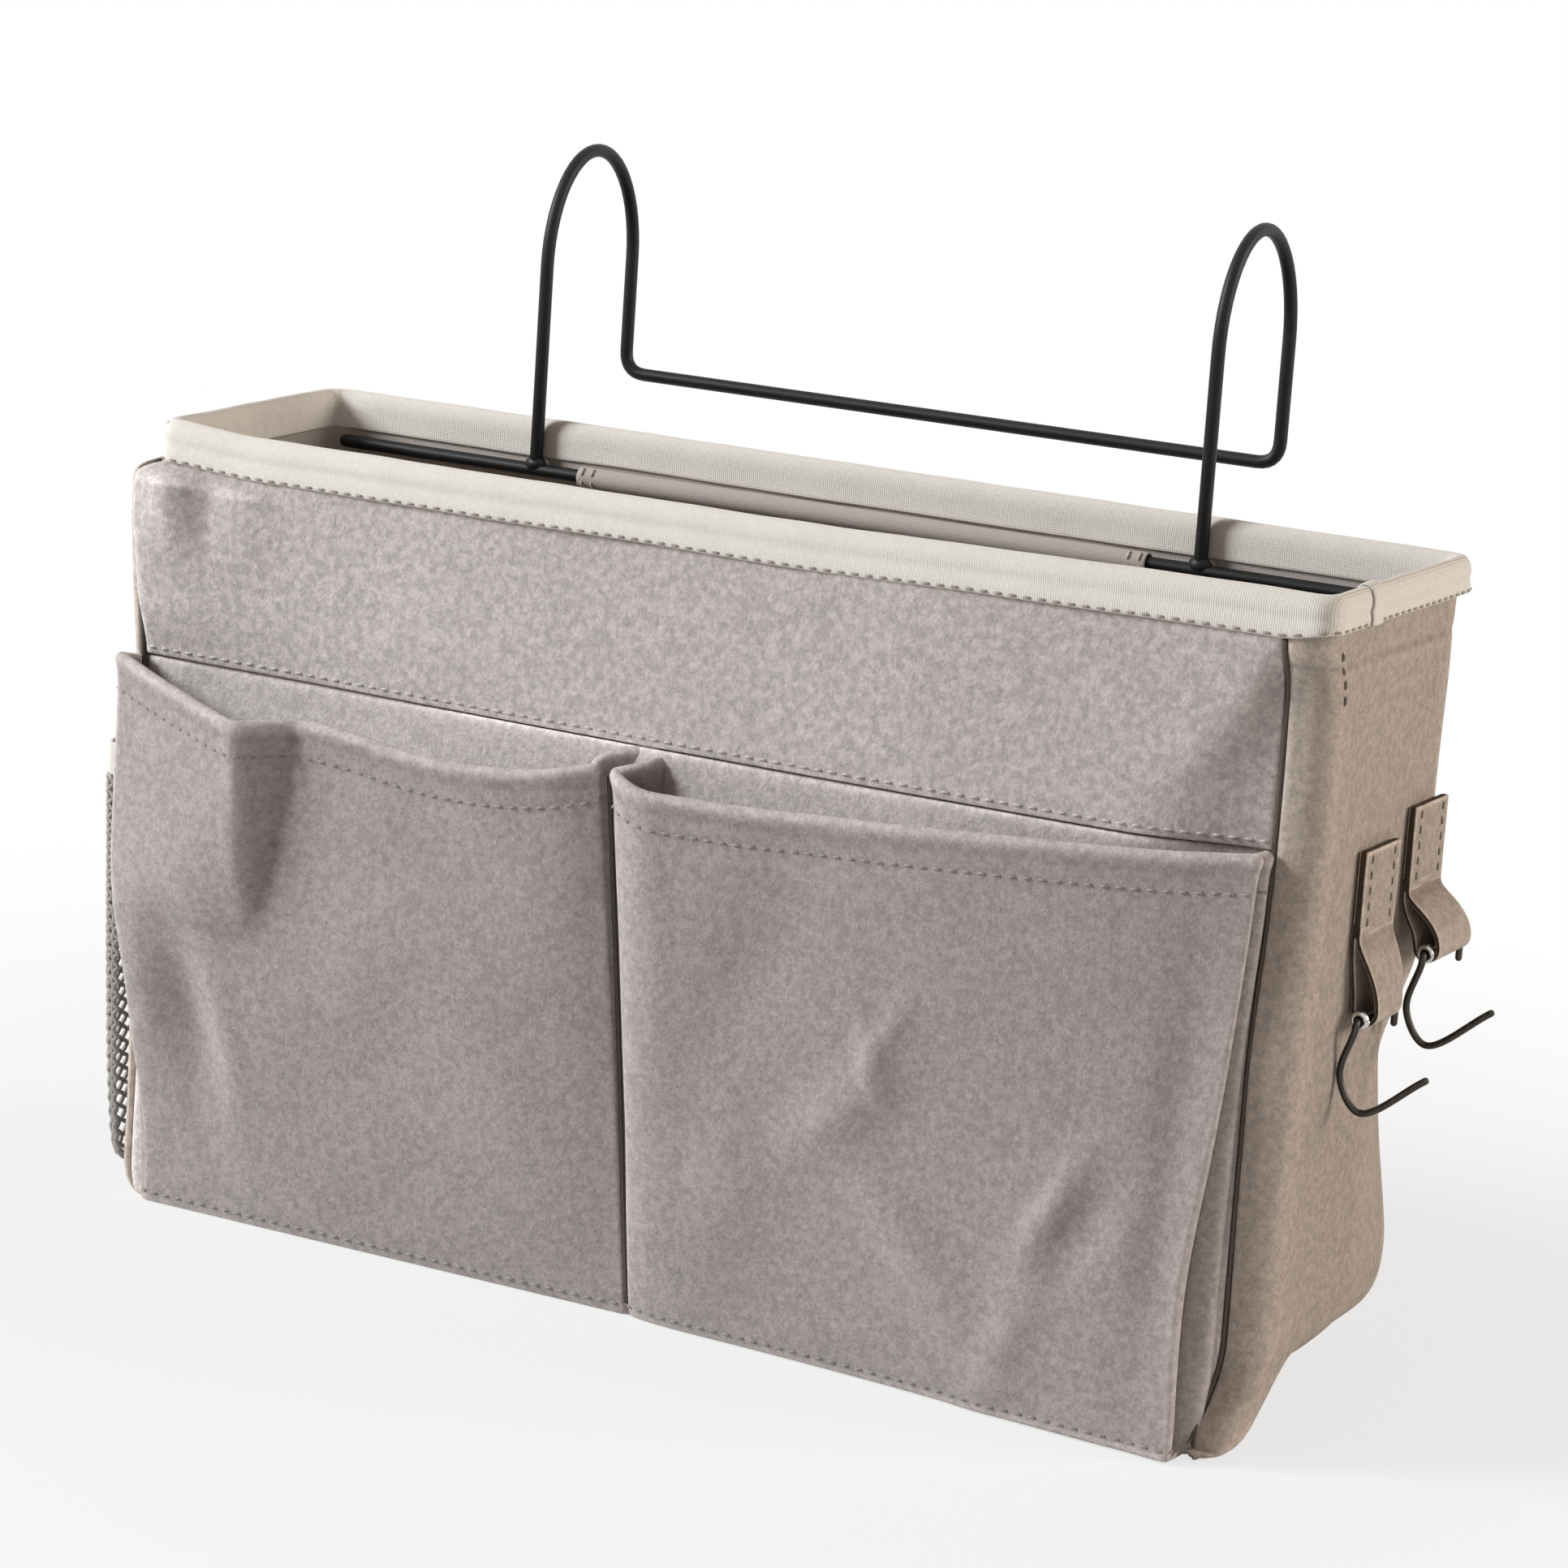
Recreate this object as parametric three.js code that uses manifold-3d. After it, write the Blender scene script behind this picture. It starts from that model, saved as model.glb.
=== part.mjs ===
// Bedside caddy: a cloth box bag that hangs from a bed rail on a wire hanger, with two bellows
// pockets in front, a net pocket on the left side and two strap loops with wire hooks on the right.
// Millimetres. Origin: centre of the base's underside. +X right, -Y front, +Z up.

import * as THREE from 'three';
import { mergeVertices } from 'three/addons/utils/BufferGeometryUtils.js';
import Module from 'manifold-3d';

const wasm = await Module();
wasm.setup();

// Clearance between neighbouring pieces, and how near two points are one
const GAP = 0.3;
const MERGE_WITHIN = 1e-4;

// Bag
const WIDTH = 380;
const DEPTH = 100;
const HEIGHT = 240;
const CORNER_RADIUS = 9;
const CLOTH = 2;
const LINING = 0.8;
const BOARD = 1.2;
// Upright seams on the front and the back, measured in from the side
const SEAM_INSET = 13.5;
// The soft rear bottom edge rounds up from the base to the back panel
const HEEL_RUN = 32;
const HEEL_RISE = 24;
// The side cloths round under to the base
const FOOT_RADIUS = 13;

// Rim binding, a folded tape
const BINDING = 0.9;
const BINDING_DROP_OUTSIDE = 14;
const BINDING_DROP_INSIDE = 12;

// Front pockets. Each list runs left end, middle, right end of the pocket.
const POCKET_CLOTH = 1.8;
const POCKET_SEAM_Z = 168;
const POCKET_FOOT_Z = 0.8;
const POCKET_SPLIT_X = -7;
const LEFT_POCKET = {
  mouthRoom: [13, 19, 14],
  footRoom: [0.8, 0.8, 0.8],
  hemDrop: [2, 9, 4.5],
  mouthLean: [-9, -9],
  footLean: [0, 0],
};
const RIGHT_POCKET = {
  mouthRoom: [16, 13, 0.8],
  footRoom: [0.8, 8, 17],
  hemDrop: [8, 4.5, 0.5],
  mouthLean: [-6, 0],
  footLean: [0, -4],
};

// Net pocket on the left side
const NET_WIDTH = 92;
const NET_HEIGHT = 118;
const NET_FOOT_Z = 10;
const NET_BULGE = 17;
// How abruptly the net stands out from its ends and its foot: 1 is gradual, 0 a sharp corner
const NET_END_CURVE = 0.12;
const NET_FOOT_CURVE = 0.25;
const NET_CORD = 1;
const NET_COLUMNS = 10;
const NET_ROWS = 14;
const NET_BAND_HEIGHT = 10;
const NET_BAND_CLOTH = 1.6;

// Wire hanger
const WIRE = 4;
const HOOK_SPACING = 222;
const HOOK_GAP = 51;
const HOOK_HEIGHT = 96;
const HOOK_ARCH_HEIGHT = 34;
const CROSSBAR_LIFT = 25.5;
const CROSSBAR_BEND = 7;
const BAR_END_ROOM = 3.5;

// Cloth casing that holds the hanger's bar inside the back
const CASING_CLOTH = 0.8;
const CASING_PLAY = 0.4;
const CASING_LENGTH = 190;
const CASING_TAIL = 9;

// Strap loops and wire hooks on the right side, front strap first
const STRAP_WIDTH = 24;
const STRAP_CLOTH = 1.4;
const STRAP_INSETS_FROM_BACK = [56, 22];
const STRAP_TOPS_Z = [166, 173];
const TAB_HEIGHT = 26;
const LOOP_DROPS = [19, 13];
const LOOP_BEND = 2.8;
const LOOP_APEX = 5;
const LOOP_STAND_OFFS = [0.5, 5];
const SIDE_WIRE = 2.2;
const SIDE_HOOK_PLAY = 1.4;
const SIDE_HOOK_BEND = 2.5;
const SIDE_HOOK_DROP = 25;
const SIDE_HOOK_REACH = 21.5;
const SIDE_HOOK_KNEE = 16;
const SIDE_HOOK_CROOK = 3.2;
const SIDE_HOOK_TIP_RISE = 12.5;
const SIDE_HOOK_STOP = 6;

// Facets: half the number of sides of a round arc, and of a round wire
const CORNER_STEPS = 3;
const HEEL_STEPS = 5;
const WIRE_STEPS = 4;
const CASING_STEPS = 8;
// Spacing of the rings along the wires, and the grid of the pockets
const HANGER_STEP = 4;
const SIDE_HOOK_STEP = 2.6;
const POCKET_COLUMNS = 10;
const POCKET_ROWS = 7;

// Sizes that follow from the ones above
const HALF_X = WIDTH / 2;
const HALF_Y = DEPTH / 2;
const SEAM_X = HALF_X - SEAM_INSET;
const CLOTH_TOP = HEIGHT - BINDING - GAP;
const BOARD_TOP = HEIGHT - BINDING_DROP_OUTSIDE;
const LINING_SIDE = CLOTH + GAP;
const LINING_WALL = CLOTH + GAP + BOARD + GAP;
const LINING_RADIUS = Math.max(CORNER_RADIUS - CLOTH, LINING + GAP + BINDING + GAP);
const BINDING_INSET_X = LINING_SIDE + LINING + GAP + BINDING;
const BINDING_INSET_Y = LINING_WALL + LINING + GAP + BINDING;
const BAR_Y = HALF_Y - BINDING_INSET_Y - GAP - WIRE / 2;
const CASING_RADIUS = WIRE / 2 + CASING_PLAY + CASING_CLOTH;
const BAR_Z = HEIGHT - BINDING_DROP_INSIDE - GAP - CASING_RADIUS;
const BAR_HALF = HALF_X - BINDING_INSET_X - BAR_END_ROOM;
const HOOK_X = HOOK_SPACING / 2;
const STRAP_X = HALF_X + GAP + STRAP_CLOTH;
const FAR = WIDTH + DEPTH + HEIGHT;

// Solids: a closed geometry as a solid for joining and cutting, and back again.

function toSolid(geometry) {
  const bare = new THREE.BufferGeometry();
  bare.setAttribute('position', geometry.getAttribute('position'));
  bare.setIndex(geometry.index);
  const merged = mergeVertices(bare, MERGE_WITHIN);
  return new wasm.Manifold(new wasm.Mesh({
    numProp: 3,
    vertProperties: new Float32Array(merged.getAttribute('position').array),
    triVerts: new Uint32Array(merged.index.array),
  }));
}

function toGeometry(solid) {
  const mesh = solid.getMesh();
  const geometry = new THREE.BufferGeometry();
  geometry.setAttribute('position', new THREE.BufferAttribute(new Float32Array(mesh.vertProperties), 3));
  geometry.setIndex(new THREE.BufferAttribute(new Uint32Array(mesh.triVerts), 1));
  geometry.computeVertexNormals();
  return geometry;
}

function box(low, high) {
  const size = high.map((value, axis) => value - low[axis]);
  const geometry = new THREE.BoxGeometry(...size);
  return geometry.translate(...low.map((value, axis) => value + size[axis] / 2));
}

// A plan outline raised from z0 to z1
function upright(shape, z0, z1) {
  const geometry = new THREE.ExtrudeGeometry(shape, {
    depth: z1 - z0, bevelEnabled: false, curveSegments: CORNER_STEPS,
  });
  return geometry.translate(0, 0, z0);
}

// A side outline, drawn in (y, z), run from x0 to x1
function sideways(shape, x0, x1, segments) {
  const geometry = new THREE.ExtrudeGeometry(shape, {
    depth: x1 - x0, bevelEnabled: false, curveSegments: segments,
  });
  const turn = new THREE.Matrix4().makeBasis(
    new THREE.Vector3(0, 1, 0), new THREE.Vector3(0, 0, 1), new THREE.Vector3(1, 0, 0),
  );
  return geometry.applyMatrix4(turn).translate(x0, 0, 0);
}

// A front outline, drawn in (x, z), run from y0 to y1
function lengthways(shape, y0, y1, segments) {
  const geometry = new THREE.ExtrudeGeometry(shape, {
    depth: y1 - y0, bevelEnabled: false, curveSegments: segments,
  });
  return geometry.rotateX(Math.PI / 2).translate(0, y1, 0);
}

// A round wire along a curve, with a ring every step or so
function wireAlong(curve, diameter, step) {
  const section = new THREE.Shape();
  section.absarc(0, 0, diameter / 2, 0, 2 * Math.PI);
  return new THREE.ExtrudeGeometry(section, {
    extrudePath: curve,
    steps: Math.ceil(curve.getLength() / step),
    curveSegments: WIRE_STEPS,
    bevelEnabled: false,
  });
}

// A closed solid through outlines of equal point counts, lowest first, counter-clockwise from above
function loft(outlines) {
  const count = outlines[0].length;
  const positions = outlines.flat().flatMap((point) => [point.x, point.y, point.z]);
  const index = [];
  for (let row = 0; row < outlines.length - 1; row += 1) {
    for (let i = 0; i < count; i += 1) {
      const next = (i + 1) % count;
      const a = row * count + i;
      const b = row * count + next;
      const c = a + count;
      const d = b + count;
      index.push(a, b, d, a, d, c);
    }
  }
  const last = (outlines.length - 1) * count;
  for (const [start, flip] of [[0, true], [last, false]]) {
    const outline = outlines[start / count].map((point) => new THREE.Vector2(point.x, point.y));
    for (const [a, b, c] of THREE.ShapeUtils.triangulateShape(outline, [])) {
      index.push(start + a, start + (flip ? c : b), start + (flip ? b : c));
    }
  }
  const geometry = new THREE.BufferGeometry();
  geometry.setAttribute('position', new THREE.Float32BufferAttribute(positions, 3));
  geometry.setIndex(index);
  return geometry;
}

// Bag walls

// Rounded rectangle of the bag's plan, drawn in by the given amounts
function plan(insetX, insetY, radius) {
  const x = HALF_X - insetX - radius;
  const y = HALF_Y - insetY - radius;
  const shape = new THREE.Shape();
  shape.absarc(x, y, radius, 0, Math.PI / 2);
  shape.absarc(-x, y, radius, Math.PI / 2, Math.PI);
  shape.absarc(-x, -y, radius, Math.PI, 1.5 * Math.PI);
  shape.absarc(x, -y, radius, 1.5 * Math.PI, 2 * Math.PI);
  return shape;
}

function planSolid(insetX, insetY, radius, z0, z1) {
  return toSolid(upright(plan(insetX, insetY, radius), z0, z1));
}

// Side outline with the heel's elliptical quarter between the base and the back, drawn in by an inset
function heelOutline(inset) {
  const shape = new THREE.Shape();
  const [run, rise] = [HEEL_RUN - inset, HEEL_RISE - inset];
  shape.absellipse(HALF_Y - HEEL_RUN, HEEL_RISE, run, rise, -Math.PI / 2, 0);
  shape.lineTo(HALF_Y - inset, FAR);
  shape.lineTo(-HALF_Y + inset, FAR);
  shape.lineTo(-HALF_Y + inset, inset);
  return shape;
}

// Front outline with rounded bottom corners, drawn in by the given amounts
function footOutline(insetX, insetZ) {
  const shape = new THREE.Shape();
  const [x, z] = [HALF_X - FOOT_RADIUS, FOOT_RADIUS];
  const [run, rise] = [FOOT_RADIUS - insetX, FOOT_RADIUS - insetZ];
  shape.absellipse(-x, z, run, rise, Math.PI, 1.5 * Math.PI);
  shape.absellipse(x, z, run, rise, 1.5 * Math.PI, 2 * Math.PI);
  shape.lineTo(HALF_X - insetX, FAR);
  shape.lineTo(-HALF_X + insetX, FAR);
  return shape;
}

// The bag's form as a full solid, drawn in from the sides and from the other faces
function bagSolid(insetX, inset, radius, top) {
  const heel = toSolid(sideways(heelOutline(inset), -WIDTH, WIDTH, HEEL_STEPS));
  const foot = toSolid(lengthways(footOutline(insetX, inset), -DEPTH, DEPTH, CORNER_STEPS));
  return planSolid(insetX, inset, radius, 0, top).intersect(heel).intersect(foot);
}

function clothShell() {
  const outside = bagSolid(0, 0, CORNER_RADIUS, CLOTH_TOP);
  return outside.subtract(bagSolid(CLOTH, CLOTH, CORNER_RADIUS - CLOTH, FAR));
}

function clothPiece(shell, low, high) {
  return toGeometry(shell.intersect(toSolid(box(low, high))));
}

// The base between the side cloths, with the heel up to the back panel
function bottomPanel(shell, halfX) {
  const base = toSolid(box([-halfX, -FAR, -FAR], [halfX, FAR, CLOTH]));
  const heel = toSolid(box([-halfX, 0, -FAR], [halfX, FAR, HEEL_RISE]));
  return toGeometry(shell.intersect(base.add(heel)));
}

function lining() {
  const outer = bagSolid(LINING_SIDE, LINING_WALL, LINING_RADIUS, CLOTH_TOP);
  const inner = bagSolid(LINING_SIDE + LINING, LINING_WALL + LINING, LINING_RADIUS - LINING, FAR);
  return toGeometry(outer.subtract(inner));
}

// Stiffening boards between the cloth and the lining
function uprightBoard(side, z0) {
  const outer = side * (HALF_Y - CLOTH - GAP);
  const inner = side * (HALF_Y - CLOTH - GAP - BOARD);
  return box([-SEAM_X, Math.min(outer, inner), z0], [SEAM_X, Math.max(outer, inner), BOARD_TOP]);
}

function bottomBoard() {
  const z0 = CLOTH + GAP;
  return box([-SEAM_X, -HALF_Y + LINING_WALL, z0], [SEAM_X, HALF_Y - HEEL_RUN, z0 + BOARD]);
}

// Tape folded over the rim: a block with the bag's wall and the mouth cut out of it
function rimBinding() {
  const out = -GAP - BINDING;
  const liningX = LINING_SIDE + LINING;
  const liningY = LINING_WALL + LINING;
  const mouthRadius = LINING_RADIUS - LINING - GAP - BINDING;
  const block = planSolid(out, out, CORNER_RADIUS - out, HEIGHT - BINDING_DROP_OUTSIDE, HEIGHT);
  const mouth = planSolid(BINDING_INSET_X, BINDING_INSET_Y, mouthRadius, 0, FAR);
  const wallOutside = planSolid(-GAP, -GAP, CORNER_RADIUS + GAP, 0, HEIGHT - BINDING);
  const insideRadius = LINING_RADIUS - LINING - GAP;
  const insideFoot = HEIGHT - BINDING_DROP_INSIDE;
  const wallInside = planSolid(liningX + GAP, liningY + GAP, insideRadius, insideFoot, FAR);
  return toGeometry(block.subtract(mouth).subtract(wallOutside.subtract(wallInside)));
}

// Front pockets

// Value at share s of a smooth run through the values at the left end, the middle and the right end
function through([left, middle, right], s) {
  return left * (1 - s) * (1 - 2 * s) + middle * 4 * s * (1 - s) + right * s * (2 * s - 1);
}

function between(a, b, t) {
  return a + (b - a) * t;
}

// One horizontal outline of a pocket at height share t, drawn in by an inset
function pocketOutline(form, left, right, t, inset) {
  const back = -HALF_Y - GAP;
  const points = [];
  const heightAt = (s) => between(POCKET_FOOT_Z, POCKET_SEAM_Z - through(form.hemDrop, s), t);
  const leanLeft = between(form.footLean[0], form.mouthLean[0], t);
  const leanRight = between(form.footLean[1], form.mouthLean[1], t);
  points.push(new THREE.Vector3(left + inset, back + inset, heightAt(0)));
  for (let i = 0; i <= POCKET_COLUMNS; i += 1) {
    const s = i / POCKET_COLUMNS;
    const room = between(through(form.footRoom, s), through(form.mouthRoom, s), t);
    const x = between(left + leanLeft + inset, right + leanRight - inset, s);
    points.push(new THREE.Vector3(x, back - room - POCKET_CLOTH + inset, heightAt(s)));
  }
  points.push(new THREE.Vector3(right - inset, back + inset, heightAt(1)));
  return points;
}

function pocket(form, left, right) {
  const rows = Array.from({ length: POCKET_ROWS + 1 }, (_, row) => row / POCKET_ROWS);
  const floor = POCKET_CLOTH / (POCKET_SEAM_Z - POCKET_FOOT_Z);
  const pastHem = 1.05;
  const outer = loft(rows.map((t) => pocketOutline(form, left, right, t, 0)));
  const inner = loft(rows.map((t) => {
    const height = between(floor, pastHem, t);
    return pocketOutline(form, left, right, height, POCKET_CLOTH);
  }));
  return toGeometry(toSolid(outer).subtract(toSolid(inner)));
}

// Net pocket

// Outer face of the net: u runs front to back, v from the foot to the top
function netPoint(u, v) {
  const bulge = NET_BULGE * Math.sin(Math.PI * u) ** NET_END_CURVE * v ** NET_FOOT_CURVE;
  return new THREE.Vector3(
    -HALF_X - GAP - NET_CORD - bulge,
    between(-NET_WIDTH / 2, NET_WIDTH / 2, u),
    NET_FOOT_Z + NET_HEIGHT * v,
  );
}

// A sheet of square cells, each with a square gap that leaves a cord's width on every line
function net() {
  const positions = [];
  const index = [];
  const add = (u, v) => {
    const point = netPoint(u, v);
    positions.push(point.x, point.y, point.z, point.x + NET_CORD, point.y, point.z);
    return positions.length / 3 - 2;
  };
  const quad = (a, b, c, d) => index.push(a, b, c, a, c, d);
  const knots = [];
  for (let row = 0; row <= NET_ROWS; row += 1) {
    knots.push([]);
    for (let column = 0; column <= NET_COLUMNS; column += 1) {
      knots[row].push(add(column / NET_COLUMNS, row / NET_ROWS));
    }
  }
  const halfU = NET_CORD / NET_WIDTH / 2;
  const halfV = NET_CORD / NET_HEIGHT / 2;
  for (let row = 0; row < NET_ROWS; row += 1) {
    for (let column = 0; column < NET_COLUMNS; column += 1) {
      const [u0, u1] = [column / NET_COLUMNS + halfU, (column + 1) / NET_COLUMNS - halfU];
      const [v0, v1] = [row / NET_ROWS + halfV, (row + 1) / NET_ROWS - halfV];
      const gap = [add(u0, v0), add(u1, v0), add(u1, v1), add(u0, v1)];
      const cell = [
        knots[row][column], knots[row][column + 1], knots[row + 1][column + 1], knots[row + 1][column],
      ];
      for (let i = 0; i < 4; i += 1) {
        const j = (i + 1) % 4;
        quad(cell[i], gap[i], gap[j], cell[j]);
        quad(cell[i] + 1, cell[j] + 1, gap[j] + 1, gap[i] + 1);
        quad(gap[i], gap[i] + 1, gap[j] + 1, gap[j]);
      }
    }
  }
  const rim = [
    ...knots[0].slice(0, -1),
    ...knots.slice(0, -1).map((row) => row[NET_COLUMNS]),
    ...knots[NET_ROWS].slice(1).reverse(),
    ...knots.slice(1).reverse().map((row) => row[0]),
  ];
  rim.forEach((a, i) => {
    const b = rim[(i + 1) % rim.length];
    quad(a, b, b + 1, a + 1);
  });
  const geometry = new THREE.BufferGeometry();
  geometry.setAttribute('position', new THREE.Float32BufferAttribute(positions, 3));
  geometry.setIndex(index);
  return geometry;
}

// Elastic band along the top of the net
function netBand() {
  const low = NET_FOOT_Z + NET_HEIGHT + GAP;
  const steps = Array.from({ length: 2 * NET_COLUMNS + 1 }, (_, i) => i / (2 * NET_COLUMNS));
  const inner = steps.map((u) => netPoint(u, 1).setX(netPoint(u, 1).x + NET_CORD));
  const outer = inner.map((point) => point.clone().setX(point.x - NET_BAND_CLOTH));
  const outline = [...outer.reverse(), ...inner];
  return loft([low, low + NET_BAND_HEIGHT].map((z) => outline.map((point) => point.clone().setZ(z))));
}

// Hanger

// Half ellipse over the rail, from (x, y0, z0) to (x, y1, z0)
class Arch extends THREE.Curve {
  constructor(x, y0, y1, z0, height) {
    super();
    Object.assign(this, { x, y0, y1, z0, height });
  }

  getPoint(t, target = new THREE.Vector3()) {
    const angle = Math.PI * t;
    const y = between(this.y0, this.y1, (1 - Math.cos(angle)) / 2);
    return target.set(this.x, y, this.z0 + this.height * Math.sin(angle));
  }
}

function straight(from, to) {
  return new THREE.LineCurve3(new THREE.Vector3(...from), new THREE.Vector3(...to));
}

function bend(from, corner, to) {
  const [a, b, c] = [from, corner, to].map((point) => new THREE.Vector3(...point));
  return new THREE.QuadraticBezierCurve3(a, b, c);
}

function hangerLoop() {
  const rear = BAR_Y + HOOK_GAP;
  const foot = BAR_Z + WIRE / 2 + GAP;
  const spring = BAR_Z + HOOK_HEIGHT - HOOK_ARCH_HEIGHT;
  const low = BAR_Z + CROSSBAR_LIFT;
  const r = CROSSBAR_BEND;
  const path = new THREE.CurvePath();
  path.add(straight([-HOOK_X, BAR_Y, foot], [-HOOK_X, BAR_Y, spring]));
  path.add(new Arch(-HOOK_X, BAR_Y, rear, spring, HOOK_ARCH_HEIGHT));
  path.add(straight([-HOOK_X, rear, spring], [-HOOK_X, rear, low + r]));
  path.add(bend([-HOOK_X, rear, low + r], [-HOOK_X, rear, low], [-HOOK_X + r, rear, low]));
  path.add(straight([-HOOK_X + r, rear, low], [HOOK_X - r, rear, low]));
  path.add(bend([HOOK_X - r, rear, low], [HOOK_X, rear, low], [HOOK_X, rear, low + r]));
  path.add(straight([HOOK_X, rear, low + r], [HOOK_X, rear, spring]));
  path.add(new Arch(HOOK_X, rear, BAR_Y, spring, HOOK_ARCH_HEIGHT));
  path.add(straight([HOOK_X, BAR_Y, spring], [HOOK_X, BAR_Y, foot]));
  return wireAlong(path, WIRE, HANGER_STEP);
}

function hangerBar() {
  const geometry = new THREE.CylinderGeometry(WIRE / 2, WIRE / 2, 2 * BAR_HALF, 2 * CASING_STEPS);
  return geometry.rotateZ(Math.PI / 2).translate(0, BAR_Y, BAR_Z);
}

// A strip folded round the bar, its two edges sewn together to the lining below the bar
function barCasing() {
  const wall = BAR_Y + CASING_RADIUS;
  const tail = 2 * CASING_CLOTH;
  const meet = Math.acos((CASING_RADIUS - tail) / CASING_RADIUS);
  const shape = new THREE.Shape();
  shape.moveTo(wall, BAR_Z);
  shape.absarc(BAR_Y, BAR_Z, CASING_RADIUS, 0, 2 * Math.PI - meet);
  shape.lineTo(wall - tail, BAR_Z - CASING_RADIUS - CASING_TAIL);
  shape.lineTo(wall, BAR_Z - CASING_RADIUS - CASING_TAIL);
  const hole = new THREE.Path();
  hole.absarc(BAR_Y, BAR_Z, CASING_RADIUS - CASING_CLOTH, 0, 2 * Math.PI, true);
  shape.holes.push(hole);
  return sideways(shape, -CASING_LENGTH / 2, CASING_LENGTH / 2, CASING_STEPS);
}

// Straps and side hooks

function strapTab(centreY, topZ) {
  const low = topZ - TAB_HEIGHT + STRAP_CLOTH + GAP;
  return box(
    [STRAP_X - STRAP_CLOTH, centreY - STRAP_WIDTH / 2, low],
    [STRAP_X + STRAP_CLOTH, centreY + STRAP_WIDTH / 2, topZ],
  );
}

// Folded strap below the tab, drawn in (x, z) from the fold line under the tab and run along Y
function strapLoop(standOff, drop, centreY, topZ) {
  const centre = LOOP_BEND + standOff;
  const outer = LOOP_BEND + STRAP_CLOTH;
  const shape = new THREE.Shape();
  shape.absarc(0, 0, STRAP_CLOTH, 0, Math.PI);
  shape.absarc(centre, -drop, outer, Math.PI, 2 * Math.PI);
  shape.quadraticCurveTo(centre + outer, -drop / 2, STRAP_CLOTH, 0);
  const apexX = centre * LOOP_APEX / drop;
  const hole = new THREE.Path();
  hole.moveTo(apexX, -LOOP_APEX);
  hole.quadraticCurveTo(centre + LOOP_BEND, -drop / 2, centre + LOOP_BEND, -drop);
  hole.absarc(centre, -drop, LOOP_BEND, 0, -Math.PI, true);
  shape.holes.push(hole);
  const geometry = new THREE.ExtrudeGeometry(shape, {
    depth: STRAP_WIDTH, bevelEnabled: false, curveSegments: CASING_STEPS,
  });
  geometry.rotateX(Math.PI / 2).translate(STRAP_X, centreY + STRAP_WIDTH / 2, topZ - TAB_HEIGHT);
  return geometry;
}

// A bar through the strap loop with a short turned-down stop at its rear and a J in front
function sideHook(standOff, drop, centreY, topZ) {
  const r = SIDE_HOOK_BEND;
  const x = STRAP_X + LOOP_BEND + standOff;
  const z = topZ - TAB_HEIGHT - drop - LOOP_BEND + GAP + SIDE_WIRE / 2;
  const end = STRAP_WIDTH / 2 + SIDE_HOOK_PLAY + SIDE_WIRE / 2;
  const front = centreY - end;
  const rear = centreY + end;
  const path = new THREE.CurvePath();
  path.add(straight([x, rear, z - SIDE_HOOK_STOP], [x, rear, z - r]));
  path.add(bend([x, rear, z - r], [x, rear, z], [x, rear - r, z]));
  path.add(straight([x, rear - r, z], [x, front + r, z]));
  path.add(bend([x, front + r, z], [x, front, z], [x, front, z - r]));
  path.add(new THREE.CatmullRomCurve3([
    new THREE.Vector3(x, front, z - r),
    new THREE.Vector3(x - SIDE_HOOK_CROOK, front, z - SIDE_HOOK_KNEE),
    new THREE.Vector3(x + SIDE_HOOK_CROOK, front, z - SIDE_HOOK_DROP),
    new THREE.Vector3(x + SIDE_HOOK_REACH, front, z - SIDE_HOOK_DROP + SIDE_HOOK_TIP_RISE),
  ]));
  return wireAlong(path, SIDE_WIRE, SIDE_HOOK_STEP);
}

// Assembly

const caddy = new THREE.Group();

function finish(color, roughness, metalness = 0) {
  return () => new THREE.MeshStandardMaterial({ color, roughness, metalness });
}

const greyFelt = finish(0xa89e9c, 0.95);
const warmFelt = finish(0xa3937f, 0.95);
const liningCloth = finish(0xb8aeaa, 0.9);
const creamTape = finish(0xe1ddda, 0.85);
const board = finish(0xd8d4cc, 0.6);
const netCord = finish(0xd9d6d2, 0.8);
const blackWire = finish(0x0a0a0a, 0.45, 0.3);
const steelWire = finish(0x5a544d, 0.35, 0.9);

function place(name, geometry, material) {
  const mesh = new THREE.Mesh(geometry, material());
  mesh.name = name;
  caddy.add(mesh);
}

const shell = clothShell();
const cutX = SEAM_X - GAP / 2;
const cutZ = POCKET_SEAM_Z - GAP / 2;
const baseTop = CLOTH + GAP;
const heelTop = HEEL_RISE + GAP;
place('upper_front_panel', clothPiece(shell, [-cutX, -FAR, cutZ + GAP], [cutX, 0, FAR]), greyFelt);
place('pocket_backing', clothPiece(shell, [-cutX, -FAR, baseTop], [cutX, 0, cutZ]), greyFelt);
place('back_panel', clothPiece(shell, [-cutX, 0, heelTop], [cutX, FAR, FAR]), greyFelt);
place('left_gusset', clothPiece(shell, [-FAR, -FAR, -FAR], [-cutX - GAP, FAR, FAR]), warmFelt);
place('right_gusset', clothPiece(shell, [cutX + GAP, -FAR, -FAR], [FAR, FAR, FAR]), warmFelt);
place('bottom_panel', bottomPanel(shell, cutX), warmFelt);
place('front_board', uprightBoard(-1, baseTop), board);
place('back_board', uprightBoard(1, heelTop), board);
place('bottom_board', bottomBoard(), board);
place('lining', lining(), liningCloth);
place('rim_binding', rimBinding(), creamTape);

place('left_pocket', pocket(LEFT_POCKET, -SEAM_X, POCKET_SPLIT_X - GAP / 2), greyFelt);
place('right_pocket', pocket(RIGHT_POCKET, POCKET_SPLIT_X + GAP / 2, SEAM_X), greyFelt);

place('side_net', net(), netCord);
place('net_band', netBand(), creamTape);

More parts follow.
